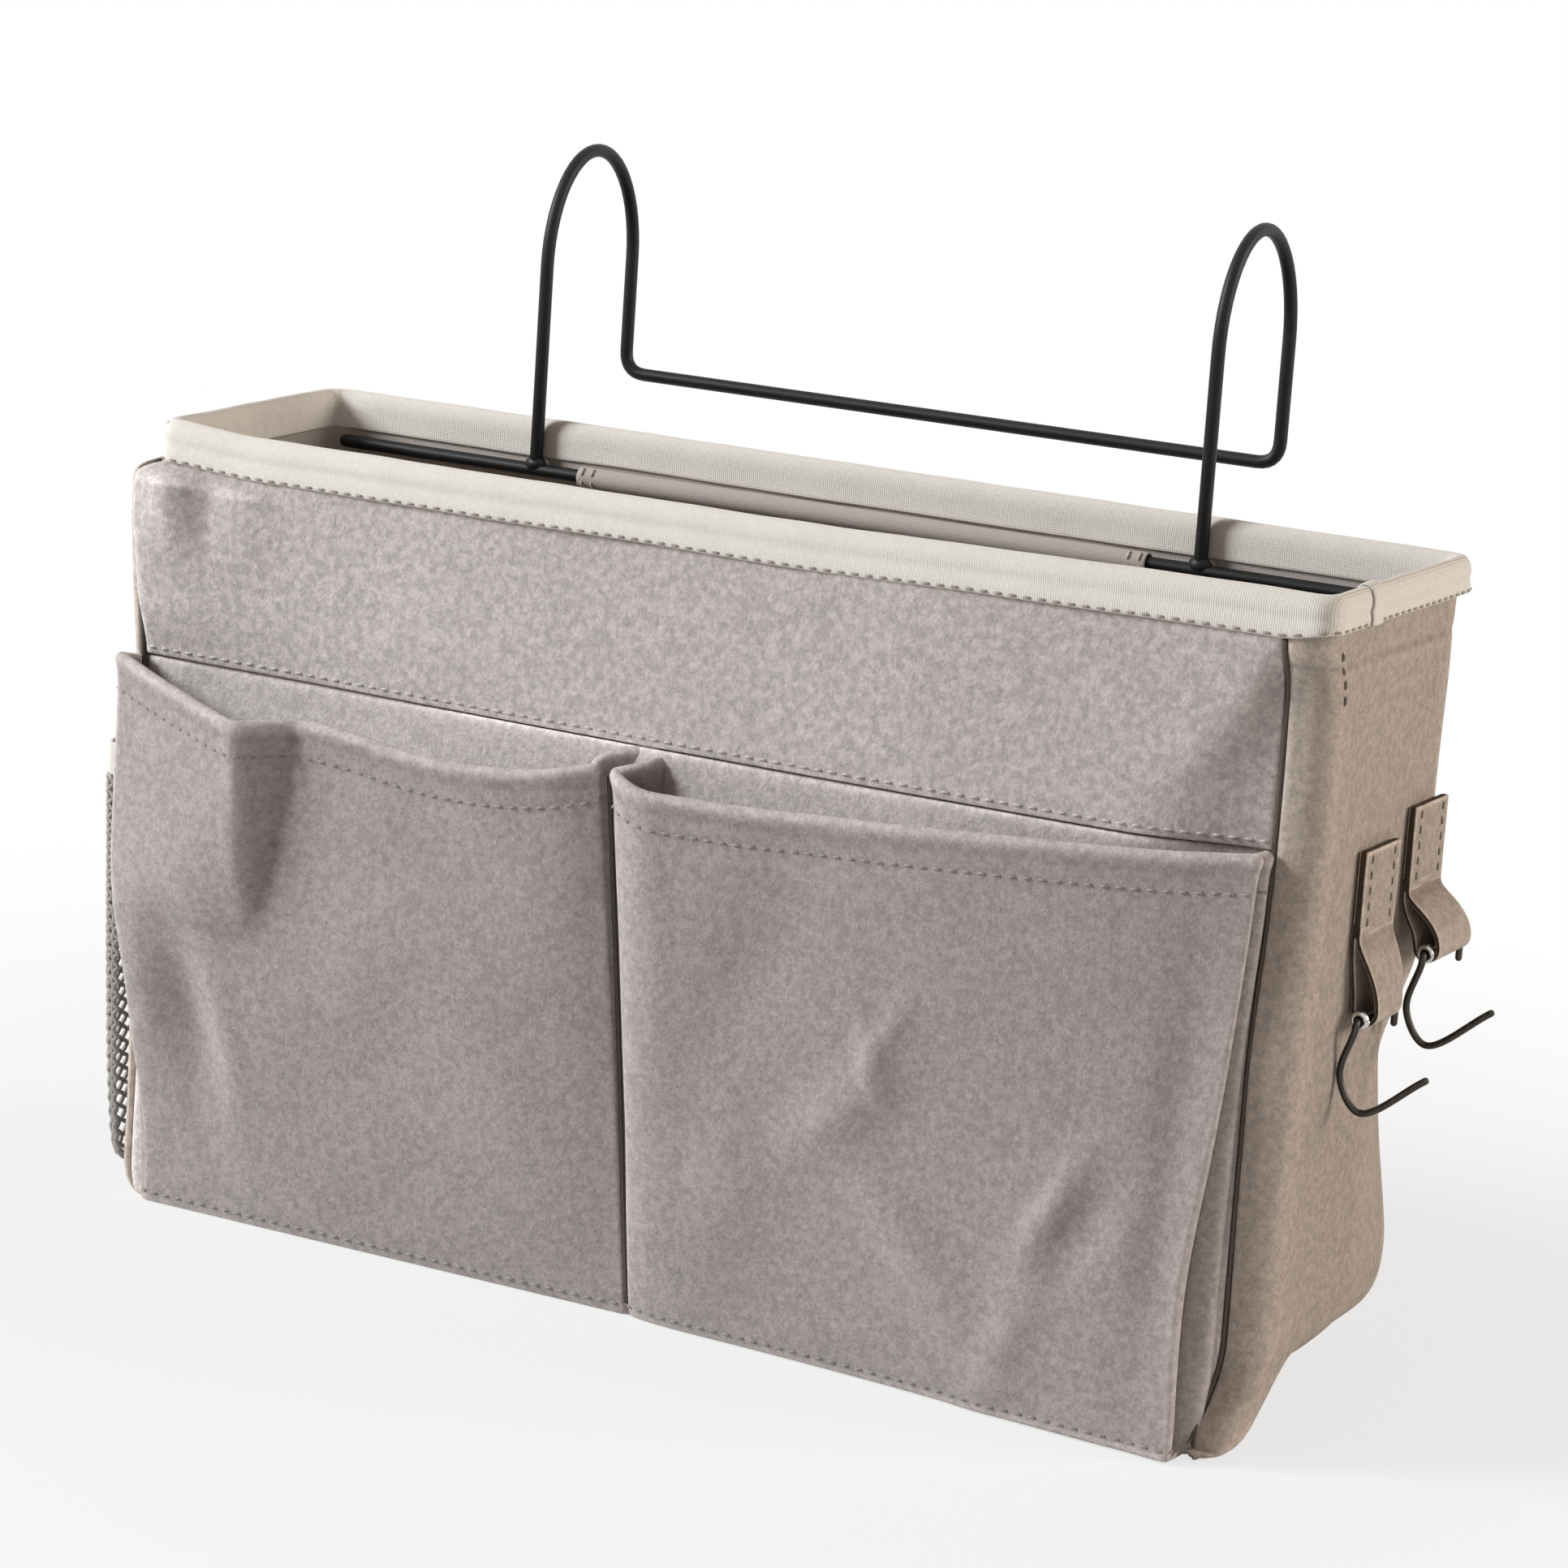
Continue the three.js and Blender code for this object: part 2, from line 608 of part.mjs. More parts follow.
place('hanger_loop', hangerLoop(), blackWire);
place('hanger_bar', hangerBar(), blackWire);
place('bar_casing', barCasing(), liningCloth);

['front', 'rear'].forEach((end, i) => {
  const at = [HALF_Y - STRAP_INSETS_FROM_BACK[i], STRAP_TOPS_Z[i]];
  const loop = [LOOP_STAND_OFFS[i], LOOP_DROPS[i]];
  place(`strap_tab_${end}`, strapTab(...at), warmFelt);
  place(`strap_loop_${end}`, strapLoop(...loop, ...at), warmFelt);
  place(`side_hook_${end}`, sideHook(...loop, ...at), steelWire);
});

export default caddy;
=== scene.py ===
"""Looks of the bedside caddy: soft cloth, stitching, net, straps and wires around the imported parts."""

import math

import bmesh
import bpy
import numpy as np
from mathutils import Matrix, Vector, noise


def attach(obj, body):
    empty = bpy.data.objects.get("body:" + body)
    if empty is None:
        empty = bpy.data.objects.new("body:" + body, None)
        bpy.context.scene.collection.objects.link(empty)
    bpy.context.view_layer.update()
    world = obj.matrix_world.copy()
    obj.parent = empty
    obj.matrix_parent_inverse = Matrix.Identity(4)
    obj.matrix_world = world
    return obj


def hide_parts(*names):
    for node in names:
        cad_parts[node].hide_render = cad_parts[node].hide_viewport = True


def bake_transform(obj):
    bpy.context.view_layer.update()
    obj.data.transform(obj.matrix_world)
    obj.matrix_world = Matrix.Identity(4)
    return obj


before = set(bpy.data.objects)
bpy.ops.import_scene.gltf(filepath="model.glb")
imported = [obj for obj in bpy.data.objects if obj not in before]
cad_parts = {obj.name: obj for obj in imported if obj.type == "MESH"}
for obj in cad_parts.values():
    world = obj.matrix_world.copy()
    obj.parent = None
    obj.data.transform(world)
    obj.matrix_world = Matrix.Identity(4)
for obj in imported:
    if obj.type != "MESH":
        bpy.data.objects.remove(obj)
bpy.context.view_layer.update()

# Lengths are millimetres in the frame of the parts, except where metres are named.
MM = 0.001

# Bag
HALF_X = 190.0
HALF_Y = 50.0
HEIGHT = 240.0
CORNER_RADIUS = 9.0
CORNER_STEPS = 7
SEAM_X = 176.5
HEEL_RUN = 32.0
HEEL_RISE = 24.0
CLOTH_TOP = 238.8
CLOTH = 1.4
PANEL_STEP = 4.0
SIDE_STEP = 3.0
# Above this height the rows are finer, where the cloth is drawn in under the tape
SHOULDER_Z = 216.0
SHOULDER_STEP = 1.5
# The left front seam lies on the corner, the right one a little way round the front
LEFT_SEAM_X = 187.0
LEFT_CORNER_RADIUS = 3.0
POCKET_SEAM_Z = 168.0

# How the unfilled bag gives way. The pairs of FOOT_ROUND, FOOT_TUCK and PINCH are left, right. A pair
# that ends in _X, _Y or _Z says where an easing along that axis starts and ends.
FOOT_ROUND = (10.0, 16.0)
FOOT_TUCK = (0.0, 4.0)
FOOT_TUCK_HEIGHT = 32.0
FOOT_TUCK_X = (140.0, SEAM_X)
PINCH = (5.0, 13.0)
PINCH_MIDDLE = 110.0
PINCH_SPREAD = 88.0
PINCH_X = (120.0, HALF_X)
# Where the pinch starts from the front, low down and behind the straps
PINCH_START = (5.0, 36.0)
PINCH_START_Z = (100.0, 130.0)
# Lift of the base's ends, as (y, height)
LEFT_LIFT = ((-40.0, 0.0), (-20.0, 1.9), (-5.0, 4.5), (10.0, 7.1), (30.0, 9.0), (50.0, 9.0))
RIGHT_LIFT = (
    (-47.0, 0.8), (-36.0, 7.0), (-25.0, 12.4), (-14.0, 14.5), (-3.0, 14.6),
    (6.0, 15.2), (15.0, 16.4), (25.0, 16.5), (38.0, 15.6), (50.0, 14.6),
)
LIFT_X = (105.0, 186.0)
LIFT_HEIGHT = 120.0
# The foot of the right front seam comes forward beside the pocket
TOE = 8.0
TOE_HEIGHT = 26.0
TOE_X = (160.0, 174.0)
TOE_Y = (-HALF_Y, -25.0)
TOE_ROUND = 6.0
TOE_ROUND_Y = (-HALF_Y, -12.0)
# The upper front falls back towards its right seam, over a shorter way towards the rim
RIGHT_FALL = 5.5
FALL_START = (136.0, 168.0)
FALL_END = SEAM_X + 2.0
FALL_Y = (-HALF_Y, -20.0)
FALL_RISE_Z = (105.0, 165.0)
FALL_FADE_Z = (212.0, 226.0)
SHORTEN_Z = (POCKET_SEAM_Z, 220.0)
# The front stands forward over the pockets
BELLY = 4.0
BELLY_LEFT_X = (-140.0, -40.0)
BELLY_RIGHT_START = (130.0, 166.0)
BELLY_Z = (105.0, POCKET_SEAM_Z)
BELLY_TOP = 228.0
# The left front corner swells out under the rim, which is drawn in: height and outward shift
LEFT_CORNER = (
    (60.0, 0.0), (120.0, 0.6), (169.0, 2.2), (193.0, 4.6),
    (214.0, 6.4), (221.0, 6.2), (224.5, 4.8), (228.0, -4.5),
)
LEFT_CORNER_OUT = (105.0, HALF_X)
LEFT_CORNER_Y = (-45.0, 40.0)
RIM_SAG = 2.0
SAG_LEFT_X = (-188.0, -150.0)
SAG_RIGHT_X = (20.0, 170.0)
SAG_FORWARD = (15.0, 45.0)
SAG_Z = (190.0, 228.0)

# Where the swells of the cloths calm down
BACK_CALM_Z = (200.0, 225.0)
SIDE_CALM_Z = (195.0, 225.0)
LINING_CALM_Z = (190.0, 225.0)
# The right side lies flat behind the straps: middle and spread, along y and z
STRAPS_CALM = ((10.0, 34.0), (132.0, 44.0))

# Pulls under the tape near the upper panel's left end, as (x, width, depth), beside a raised corner
PULLS = ((-163.5, 3.5, 1.0), (-175.0, 7.5, -4.0), (-152.0, 8.0, -1.4))
PULL_Z = (190.0, 216.0)
PULL_FADE_Z = (222.0, 227.0)
PILLOW = 3.4
PILLOW_MIDDLE = -177.0
PILLOW_SPREAD = 27.0
PILLOW_Z = (171.0, 188.0)
# The backing passes under the upper panel's folded edge
BACKING_SINK = 0.9
BACKING_SINK_Z = (150.0, 164.0)

# A sewn edge: distance from the seam and depth of the turned-in cloth
TURN = ((0.15, 4.0), (0.25, 1.8), (0.6, 0.8), (1.4, 0.2))
TURN_MARGIN = TURN[-1][0] + 1.2
FRONT_TURN_SHARE = 0.4
STITCH_PITCH = 4.4
STITCH_LENGTH = 2.9
STITCH_RADIUS = 0.42
STITCH_SIDES = 6
# Rings of a stitch: place along it, share of its radius, and rise in radii
STITCH_RINGS = ((-0.5, 0.35, -0.5), (-0.28, 1.0, 0.25), (0.28, 1.0, 0.25), (0.5, 0.35, -0.5))
SEAM_CORD = 0.75
CORD_SIDES = 8
LEFT_CORD_FOOT = POCKET_SEAM_Z - 20.0
RIGHT_CORD_FOOT = 3.0
CORNER_STITCH_Y = -41.0
CORNER_STITCH_Z = (204.0, 226.0)

# Boards and lining
INNER_SHEET = 0.8
BOARD_X = SEAM_X - 1.0
BOARD_Y = 47.1
BOARD_FOOT = 3.0
BACK_BOARD_FOOT = HEEL_RISE + 2.0
BOARD_TOP = 226.0
BOARD_STEP = 12.0
BASE_BOARD_X = SEAM_X - 4.0
BASE_BOARD_FRONT = -45.0
BASE_BOARD_Z = 2.9
LINING_X = 2.7
LINING_Y = 4.2
LINING_RADII = (4.0, 3.0, 6.0, 3.0)
LINING_TOP = 232.0
LINING_STEP = 5.0
LINING_ROW = 6.0
LINING_FOOT_ROWS = (24.0, 18.0, 12.0, 8.0, LINING_Y)
LINING_FLOOR_ROWS = 8
LINING_MIDDLE_X = 150.0
# The line on the right side where the lining is folded behind it
LINING_FOLD = 0.5
LINING_FOLD_Z = 219.5

# Rim binding
TAPE = 0.9
TAPE_OUT = 0.75
TAPE_IN_X = 3.85
TAPE_IN_Y = 5.35
TAPE_STEP = 2.5
TAPE_ROWS = 6
TAPE_TOP_ROWS = 7
TAPE_LOW_OUTSIDE = 227.0
TAPE_LOW_RIGHT = 2.2
TAPE_LOW_RIGHT_X = (HALF_X - 14.0, HALF_X)
TAPE_LOW_INSIDE = 228.0
TAPE_BEND_Z = 234.6
TAPE_BEND = 4.9
TAPE_DENT = 0.1
# Depth of the outside's rows, where the tape folds over
TAPE_FOLD = (0.0, 0.0, 0.0, 0.3, 0.5, 0.0)
TAPE_STITCH = 0.9
TAPE_LAP_Y = -23.0
TAPE_LAP = 11.0
TAPE_LAP_ROWS = 15
# Corners in the order right front, right rear, left rear, left front
TAPE_OUTER_RADII = (5.5, 5.0, 8.0, 4.5)
TAPE_INNER_RADII = (3.0, 3.0, 4.6, 3.0)

# Pockets
POCKET_CLOTH = 1.6
POCKET_BACK = -50.3
POCKET_SEAM_Y = POCKET_BACK - 0.4
POCKET_PLAY = 0.1
POCKET_LEAST_ROOM = 1.0
POCKET_FOOT_Z = 1.0
POCKET_FILL = 0.75
POCKET_FLOOR_ROWS = 4
# Shares of the way from the front corner back to the seam, across the front, and up
SIDE_SHARES = np.array([1.0, 0.88, 0.80, 0.72, 0.63, 0.52, 0.42, 0.32, 0.2, 0.08])
FRONT_SHARES = np.concatenate([[0, 0.008], np.linspace(0.02, 0.98, 62), [0.992, 1]])
UP_SHARES = np.concatenate([
    [0, 0.008, 0.02], np.linspace(0.04, 0.935, 46), [0.955, 0.97, 0.98, 0.99, 1.0],
])
# Pleats of a side, as (share, width), and the depth of a side at which they are full
PLEAT_IN = (0.40, 0.16)
PLEAT_OUT = (0.74, 0.12)
PLEAT_FULL = 14.0
CREASE_FOOT = 4.0
SWELL_LIMIT = 1.2
SWELL_START = (0.0, 0.12)
HEM_HEIGHT = 9.0
HEM_BEND = 1.35
HEM_BEND_ROWS = 5
HEM_INNER_ROWS = 3
HEM_LIP = 0.9
HEM_LIP_WIDTH = 2.2
HEM_DENT = 0.4
HEM_DENT_WIDTH = 1.5
FOOT_STITCH = 2.6
PANEL_STITCH = 2.6
# The dark cord of painted shade in the slit between the pockets: share of the side, shares up and shift
SLIT_SHARE = 0.4
SLIT_UP = (0.02, 0.97)
SLIT_SHIFT = (SEAM_CORD, -0.5, 0.0)

# Net
NET_WIDTH = 92.0
NET_HEIGHT = 118.0
NET_FOOT_Z = 10.0
NET_BULGE = 17.0
NET_END_CURVE = 0.12
NET_FOOT_CURVE = 0.25
NET_X = -190.9
NET_STRANDS = 30
NET_ROWS = 54
NET_CORD = 0.8
NET_SIDES = 6
# A strand's swing to its neighbours, in strands, and how far it stands off where they cross
NET_SWING = 0.43
NET_CROSSING = 0.1
BAND_HEIGHT = 10.0
BAND_GAP = 0.3
BAND_CLOTH = 1.1
BAND_RIBS = 34
BAND_RIB = 0.28
BAND_UP = np.concatenate([[0, 0.04], np.linspace(0.1, 0.9, 7), [0.96, 1]])

# Hanger
WIRE = 2.0
WIRE_SIDES = 16
DOME_STEPS = 5
DOME_TIP = 0.08
BAR_Y = 41.9
BAR_Z = 224.5
BAR_HALF = 182.2
HOOK_X = 111.0
HOOK_GAP = 51.0
HOOK_SPRING_Z = 286.5
HOOK_ARCH = 34.0
CROSSBAR_Z = 250.0
CROSSBAR_BEND = 7.0
LEG_GAP = 0.3
CASING_HALF = 95.0
CASING_RADIUS = 2.8
CASING_FOOT_Z = 212.3
CASING_CLOTH = 0.7
CASING_LAYER = 0.85
CASING_TURN = 1.62 * math.pi
CASING_STEP = 5.0
SLEEVE_LINE = (1.35, 3.2)
SLEEVE_HEMS = (2.0, 5.5)
SLEEVE_HEM_TURN = (0.55 * math.pi, 1.3 * math.pi)

# Straps and side hooks
STRAP_X = 191.7
STRAP_WIDTH = 24.0
STRAP_CLOTH = 1.4
STRAP_EDGE = 2.0
TAB_HEIGHT = 26.0
TAB_LENGTH = TAB_HEIGHT - STRAP_CLOTH - 0.3
TAB_CLOTH = 2.5
TAB_STITCH = 4.0
TAB_STITCH_END = 2.0
TAB_DENT = 0.4
TAB_DENT_INSET = 3.2
LOOP_BEND = 2.8
LOOP_CLOTH = STRAP_CLOTH - 0.1
# Heights of the loop's rows inside the tab, and where its bending starts and ends about the fold
LOOP_IN_TAB = (6.0, 3.0, 0.5)
HOOK_WIRE = 1.0
HOOK_SIDES = 12
HOOK_SEAT = 0.3
HOOK_PLAY = 1.4
HOOK_CORNER = 2.5
HOOK_DROP = 25.0
HOOK_REACH = 21.5
HOOK_KNEE = 16.0
HOOK_CROOK = 3.2
HOOK_TIP_RISE = 12.5
HOOK_STOP = 6.0
EYE_RADIUS = 1.9
EYE_WIRE = 0.8
EYE_GAP = 0.4
EYE_TURNS = 4 * math.pi

# Stage, in metres
FLOOR_HALF = 12.0
FLOOR_NEAR = 0.20
FLOOR_FAR = 0.60
FLOOR_WHITE = 0.72
FLOOR_GREY = 0.70
WORLD_LIGHT = 0.22
WORLD_COLOUR = (1.0, 0.86, 0.76)
LAMP_AIM = (0.0, 0.0, 0.12)

# Camera
VIEW_AZIMUTH = 28.03
VIEW_ELEVATION = 12.25
VIEW_ROLL = 3.86
VIEW_DISTANCE = 1491.0
VIEW_TARGET = (0.0, 0.0, 150.0)
LENS = 117.6
SENSOR = 36.0
SHIFT = (0.0079, 0.0018)


# Shaping helpers

def ease(value, start, end):
    """0 before start, 1 after end, and a smooth run between them."""
    t = np.clip((np.asarray(value, float) - start) / (end - start), 0, 1)
    return t * t * (3 - 2 * t)


def bell(value, centre, width):
    return np.exp(-(((np.asarray(value, float) - centre) / width) ** 2))


def between(a, b, t):
    return a + (b - a) * t


def unit(vectors):
    return vectors / np.maximum(np.linalg.norm(vectors, axis=-1, keepdims=True), 1e-9)


def points_at(x, y, z):
    """Points from coordinates that are spread out to one shape."""
    return np.stack(np.broadcast_arrays(x, y, z), axis=-1).astype(float)


def over_plan(plan, z):
    """Points at height z over places (x, y)."""
    return points_at(plan[..., 0], plan[..., 1], z)


def hermite(t, a, b, a_slope, b_slope):
    """A smooth run from a to b at shares t, with the given slopes at its ends."""
    start = (1 - t) ** 2 * ((1 + 2 * t) * a + t * a_slope)
    return start + t * t * ((3 - 2 * t) * b + (t - 1) * b_slope)


def curve(knots, value):
    """A smooth line through (place, height) knots, level beyond its ends."""
    places, heights = (np.array(v, float) for v in zip(*knots))
    slopes = np.gradient(heights, places)
    value = np.clip(np.asarray(value, float), places[0], places[-1])
    i = np.clip(np.searchsorted(places, value) - 1, 0, len(places) - 2)
    span = places[i + 1] - places[i]
    t = (value - places[i]) / span
    return hermite(t, heights[i], heights[i + 1], span * slopes[i], span * slopes[i + 1])


def arc_bend(start, corner, end, steps=8):
    """Points of a soft bend from start to end that heads for the corner."""
    start, corner, end = (np.array(p, float) for p in (start, corner, end))
    t = np.linspace(0, 1, steps)[:, None]
    return (1 - t) ** 2 * start + 2 * t * (1 - t) * corner + t * t * end


def smooth_path(knots, steps):
    """Points of a smooth curve through the knots, with centripetal spacing."""
    knots = np.array([2 * knots[0] - knots[1], *knots, 2 * knots[-1] - knots[-2]])
    gaps = np.linalg.norm(np.diff(knots, axis=0), axis=1) ** 0.5
    t = np.linspace(0, 1, steps + 1)[1:, None]
    runs = [knots[1:2]]
    for i in range(len(knots) - 3):
        p0, p1, p2, p3 = knots[i:i + 4]
        d0, d1, d2 = gaps[i:i + 3]
        m1 = (p1 - p0) / d0 - (p2 - p0) / (d0 + d1) + (p2 - p1) / d1
        m2 = (p2 - p1) / d1 - (p3 - p1) / (d1 + d2) + (p3 - p2) / d2
        runs.append(hermite(t, p1, p2, m1 * d1, m2 * d1))
    return np.concatenate(runs)


def ripple(points, size, seed):
    """Smooth noise from -1 to 1 at each point, with swells of about the given size."""
    flat = points.reshape(-1, 3) / size + seed
    return np.array([noise.noise(Vector(p)) for p in flat]).reshape(points.shape[:-1])


def swells(points, *waves):
    """Soft swells at each point, as a sum of waves of (height, size, seed)."""
    return sum(height * ripple(points, size, seed) for height, size, seed in waves)


def fall(x, z):
    """How far the upper front falls back near its right seam."""
    start = between(*FALL_START, ease(z, *SHORTEN_Z))
    return RIGHT_FALL * ease(x, start, FALL_END) * ease(z, *FALL_RISE_Z) * (1 - ease(z, *FALL_FADE_Z))


def belly(x, z):
    """How far the front stands forward along the seam over the pockets."""
    right_start = between(*BELLY_RIGHT_START, ease(z, *SHORTEN_Z))
    across = ease(x, *BELLY_LEFT_X) * (1 - ease(x, right_start, SEAM_X))
    fade = np.clip((BELLY_TOP - z) / (BELLY_TOP - POCKET_SEAM_Z), 0, 1)
    return BELLY * across * ease(z, *BELLY_Z) * fade


def round_edge(out, up, run, rise):
    """Moves that round a lower edge, for points out from its wall and up from its floor."""
    a = np.clip((out + run) / run, 0, 1)
    b = np.clip((rise - up) / rise, 0, 1)
    return run * (a * np.sqrt(1 - b * b / 2) - a), rise * (b - b * np.sqrt(1 - a * a / 2))


def soften(points):
    """The box-shaped bag's points, moved to where the soft bag has them."""
    p = np.array(points, float)
    x, y, z = p[..., 0], p[..., 1], p[..., 2]
    inward, lift = round_edge(y - HALF_Y, z, HEEL_RUN, HEEL_RISE)
    y += inward
    z += lift
    side = np.sign(x)
    right = side > 0
    foot = np.where(right, between(TOE_ROUND, FOOT_ROUND[1], ease(y, *TOE_ROUND_Y)), FOOT_ROUND[0])
    inward, lift = round_edge(np.abs(x) - HALF_X, z, foot, foot)
    x += side * inward
    z += lift
    tuck = np.where(right, FOOT_TUCK[1], FOOT_TUCK[0])
    x -= side * tuck * (1 - ease(z, 0, FOOT_TUCK_HEIGHT)) * ease(np.abs(x), *FOOT_TUCK_X)
    y += fall(x, z) * (1 - ease(y, *FALL_Y))
    y -= TOE * (1 - ease(z, 0, TOE_HEIGHT)) * ease(x, *TOE_X) * (1 - ease(y, *TOE_Y))
    pinch = np.where(right, PINCH[1], PINCH[0]) * bell(z, PINCH_MIDDLE, PINCH_SPREAD)
    start = between(*PINCH_START, ease(z, *PINCH_START_Z))
    x -= side * pinch * ease(y, start, HALF_Y) * ease(np.abs(x), *PINCH_X)
    lift = np.where(right, curve(RIGHT_LIFT, y), curve(LEFT_LIFT, y)) * ease(np.abs(x), *LIFT_X)
    z += lift * (1 - ease(z, 0, LIFT_HEIGHT))
    return settle_rim(p, z)


def settle_rim(p, z):
    """Moves the left front corner and the sagging front rim, by the shifts that belong to height z."""
    x, y = p[..., 0], p[..., 1]
    at_left = ease(-x, *LEFT_CORNER_OUT) * (1 - ease(y, *LEFT_CORNER_Y))
    x -= curve(LEFT_CORNER, z) * at_left
    slack = (1 - ease(x, *SAG_RIGHT_X)) * ease(x, *SAG_LEFT_X)
    p[..., 2] -= RIM_SAG * slack * ease(-y, *SAG_FORWARD) * ease(z, *SAG_Z)
    return p


def outward(grid):
    """Unit normals of a grid whose columns run anticlockwise and whose rows run up."""
    return unit(np.cross(np.gradient(grid, axis=1), np.gradient(grid, axis=0)))


def dent(grid, depth):
    """Moves a grid inwards by a depth at each of its points."""
    return grid - outward(grid) * np.asarray(depth)[..., None]


def spread(low, high, step):
    """Even places from low to high, about a step apart."""
    return low + np.linspace(0, high - low, max(2, round((high - low) / step) + 1))


def rows_up(low, high):
    """Heights of a wall's rows, finer under the rim."""
    if high <= SHOULDER_Z:
        return spread(low, high, PANEL_STEP)
    plain = spread(low, SHOULDER_Z, PANEL_STEP)
    return np.concatenate([plain[:-1], spread(SHOULDER_Z, high, SHOULDER_STEP)])


def sewn(middle, start=True, end=True):
    """Places along a cloth and how deep each is turned in, where its first and last are sewn."""
    edge = np.array(TURN)
    low, high = middle[0], middle[-1]
    inside = middle[(middle > low + TURN_MARGIN * start) & (middle < high - TURN_MARGIN * end)]
    first = [low + edge[:, 0], [low + TURN_MARGIN]] if start else [[low]]
    last = [[high - TURN_MARGIN], high - edge[::-1, 0]] if end else [[high]]
    places = np.concatenate(first + [inside] + last)
    depths = np.zeros(len(places))
    if start:
        depths[:len(edge)] = edge[:, 1]
    if end:
        depths[-len(edge):] = edge[::-1, 1]
    return places, depths


def distances(points):
    """How far along a path each of its points lies."""
    return np.concatenate([[0], np.cumsum(np.linalg.norm(np.diff(points, axis=0), axis=1))])


def at_places(places, known, values):
    """Rows of values between those that are known at some places."""
    return np.stack([np.interp(places, known, column) for column in values.T], axis=-1)


def line_on(grid, heights, lift):
    """The line across a grid at a height for each column, lifted off its face, and its normals."""
    points, ups = [], []
    heights = np.broadcast_to(heights, grid.shape[1])
    for column, out, z in zip(grid.swapaxes(0, 1), outward(grid).swapaxes(0, 1), heights):
        order = np.argsort(column[:, 2])
        ups.append(at_places(z, column[order, 2], out[order]))
        points.append(at_places(z, column[order, 2], column[order]) + ups[-1] * lift)
    points = np.array(points)
    # Subdivision draws the cloth in at its bends, and the line goes with it
    points[1:-1] = (points[:-2] + 4 * points[1:-1] + points[2:]) / 6
    return points, np.array(ups)


# Mesh helpers

def mesh_of(name, points, faces):
    mesh = bpy.data.meshes.new(name)
    mesh.from_pydata((np.asarray(points, float) * MM).tolist(), [], faces)
    work = bmesh.new()
    work.from_mesh(mesh)
    bmesh.ops.remove_doubles(work, verts=work.verts, dist=0.01 * MM)
    work.to_mesh(mesh)
    work.free()
    mesh.shade_smooth()
    return mesh


def grid_faces(rows, columns, wrap=False, start=0):
    faces = []
    for r in range(rows - 1):
        for c in range(columns if wrap else columns - 1):
            a = start + r * columns + c
            b = start + r * columns + (c + 1) % columns
            faces.append((a, b, b + columns, a + columns))
    return faces


def sheet(name, grid, wrap=False):
    return mesh_of(name, grid.reshape(-1, 3), grid_faces(*grid.shape[:2], wrap))


def piece(name, mesh, material, body="bag", nodes=()):
    """A piece of the object that rides on a body and may stand for parts of the frame."""
    obj = bpy.data.objects.new(name, mesh)
    bpy.context.scene.collection.objects.link(obj)
    mesh.materials.append(material)
    if body:
        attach(obj, body)
    if nodes:
        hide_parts(*nodes)
    return obj


def thicken(obj, thickness, offset):
    """Gives a sheet its cloth thickness and soft edges; an offset of -1 goes inwards from its face."""
    solid = obj.modifiers.new("cloth", "SOLIDIFY")
    solid.thickness = thickness * MM
    solid.offset = offset
    soft = obj.modifiers.new("soft", "SUBSURF")
    soft.levels = 1
    soft.render_levels = 1
    return obj


def cloth(name, grid, material, nodes=(), thickness=CLOTH, offset=-1.0, wrap=False):
    return thicken(piece(name, sheet(name, grid, wrap), material, "bag", nodes), thickness, offset)


def ring_angles(sides):
    return np.linspace(0, 2 * math.pi, sides, endpoint=False)


def tube_points(path, radius, sides):
    """Points of a round tube along a path, with its frame carried along."""
    tangents = unit(np.gradient(path, axis=0))
    side = np.cross(tangents[0], (0.0, 0.0, 1.0))
    if np.linalg.norm(side) < 0.1:
        side = np.cross(tangents[0], (1.0, 0.0, 0.0))
    angles = ring_angles(sides)
    rings = []
    for point, tangent, r in zip(path, tangents, np.broadcast_to(radius, len(path))):
        side = unit(side - tangent * (side @ tangent))
        other = np.cross(tangent, side)
        rings.append(point + r * (np.outer(np.cos(angles), side) + np.outer(np.sin(angles), other)))
    return np.concatenate(rings)


def tube_faces(rings, sides, start):
    last = start + (rings - 1) * sides
    caps = [tuple(range(start + sides - 1, start - 1, -1)), tuple(range(last, last + sides))]
    return grid_faces(rings, sides, True, start) + caps


def tubes(name, paths, radius, sides, material, body="bag", nodes=()):
    """One piece of round tubes along paths; the radius may change along them."""
    points, faces, start = [], [], 0
    for path in paths:
        points.append(tube_points(path, radius, sides))
        faces += tube_faces(len(path), sides, start)
        start += len(points[-1])
    return piece(name, mesh_of(name, np.concatenate(points), faces), material, body, nodes)


def wire(name, path, radius, sides, material, body, node):
    """A tube whose ends are closed in small domes."""
    angles = np.linspace(0, math.pi / 2, DOME_STEPS)
    rise = radius * np.sin(angles)[1:, None]
    head = path[0] + unit(path[0] - path[1]) * rise[::-1]
    tail = path[-1] + unit(path[-1] - path[-2]) * rise
    dome = radius * np.maximum(np.cos(angles), DOME_TIP)
    radii = np.concatenate([dome[:0:-1], np.full(len(path), radius), dome[1:]])
    return tubes(name, [np.concatenate([head, path, tail])], radii, sides, material, body, [node])


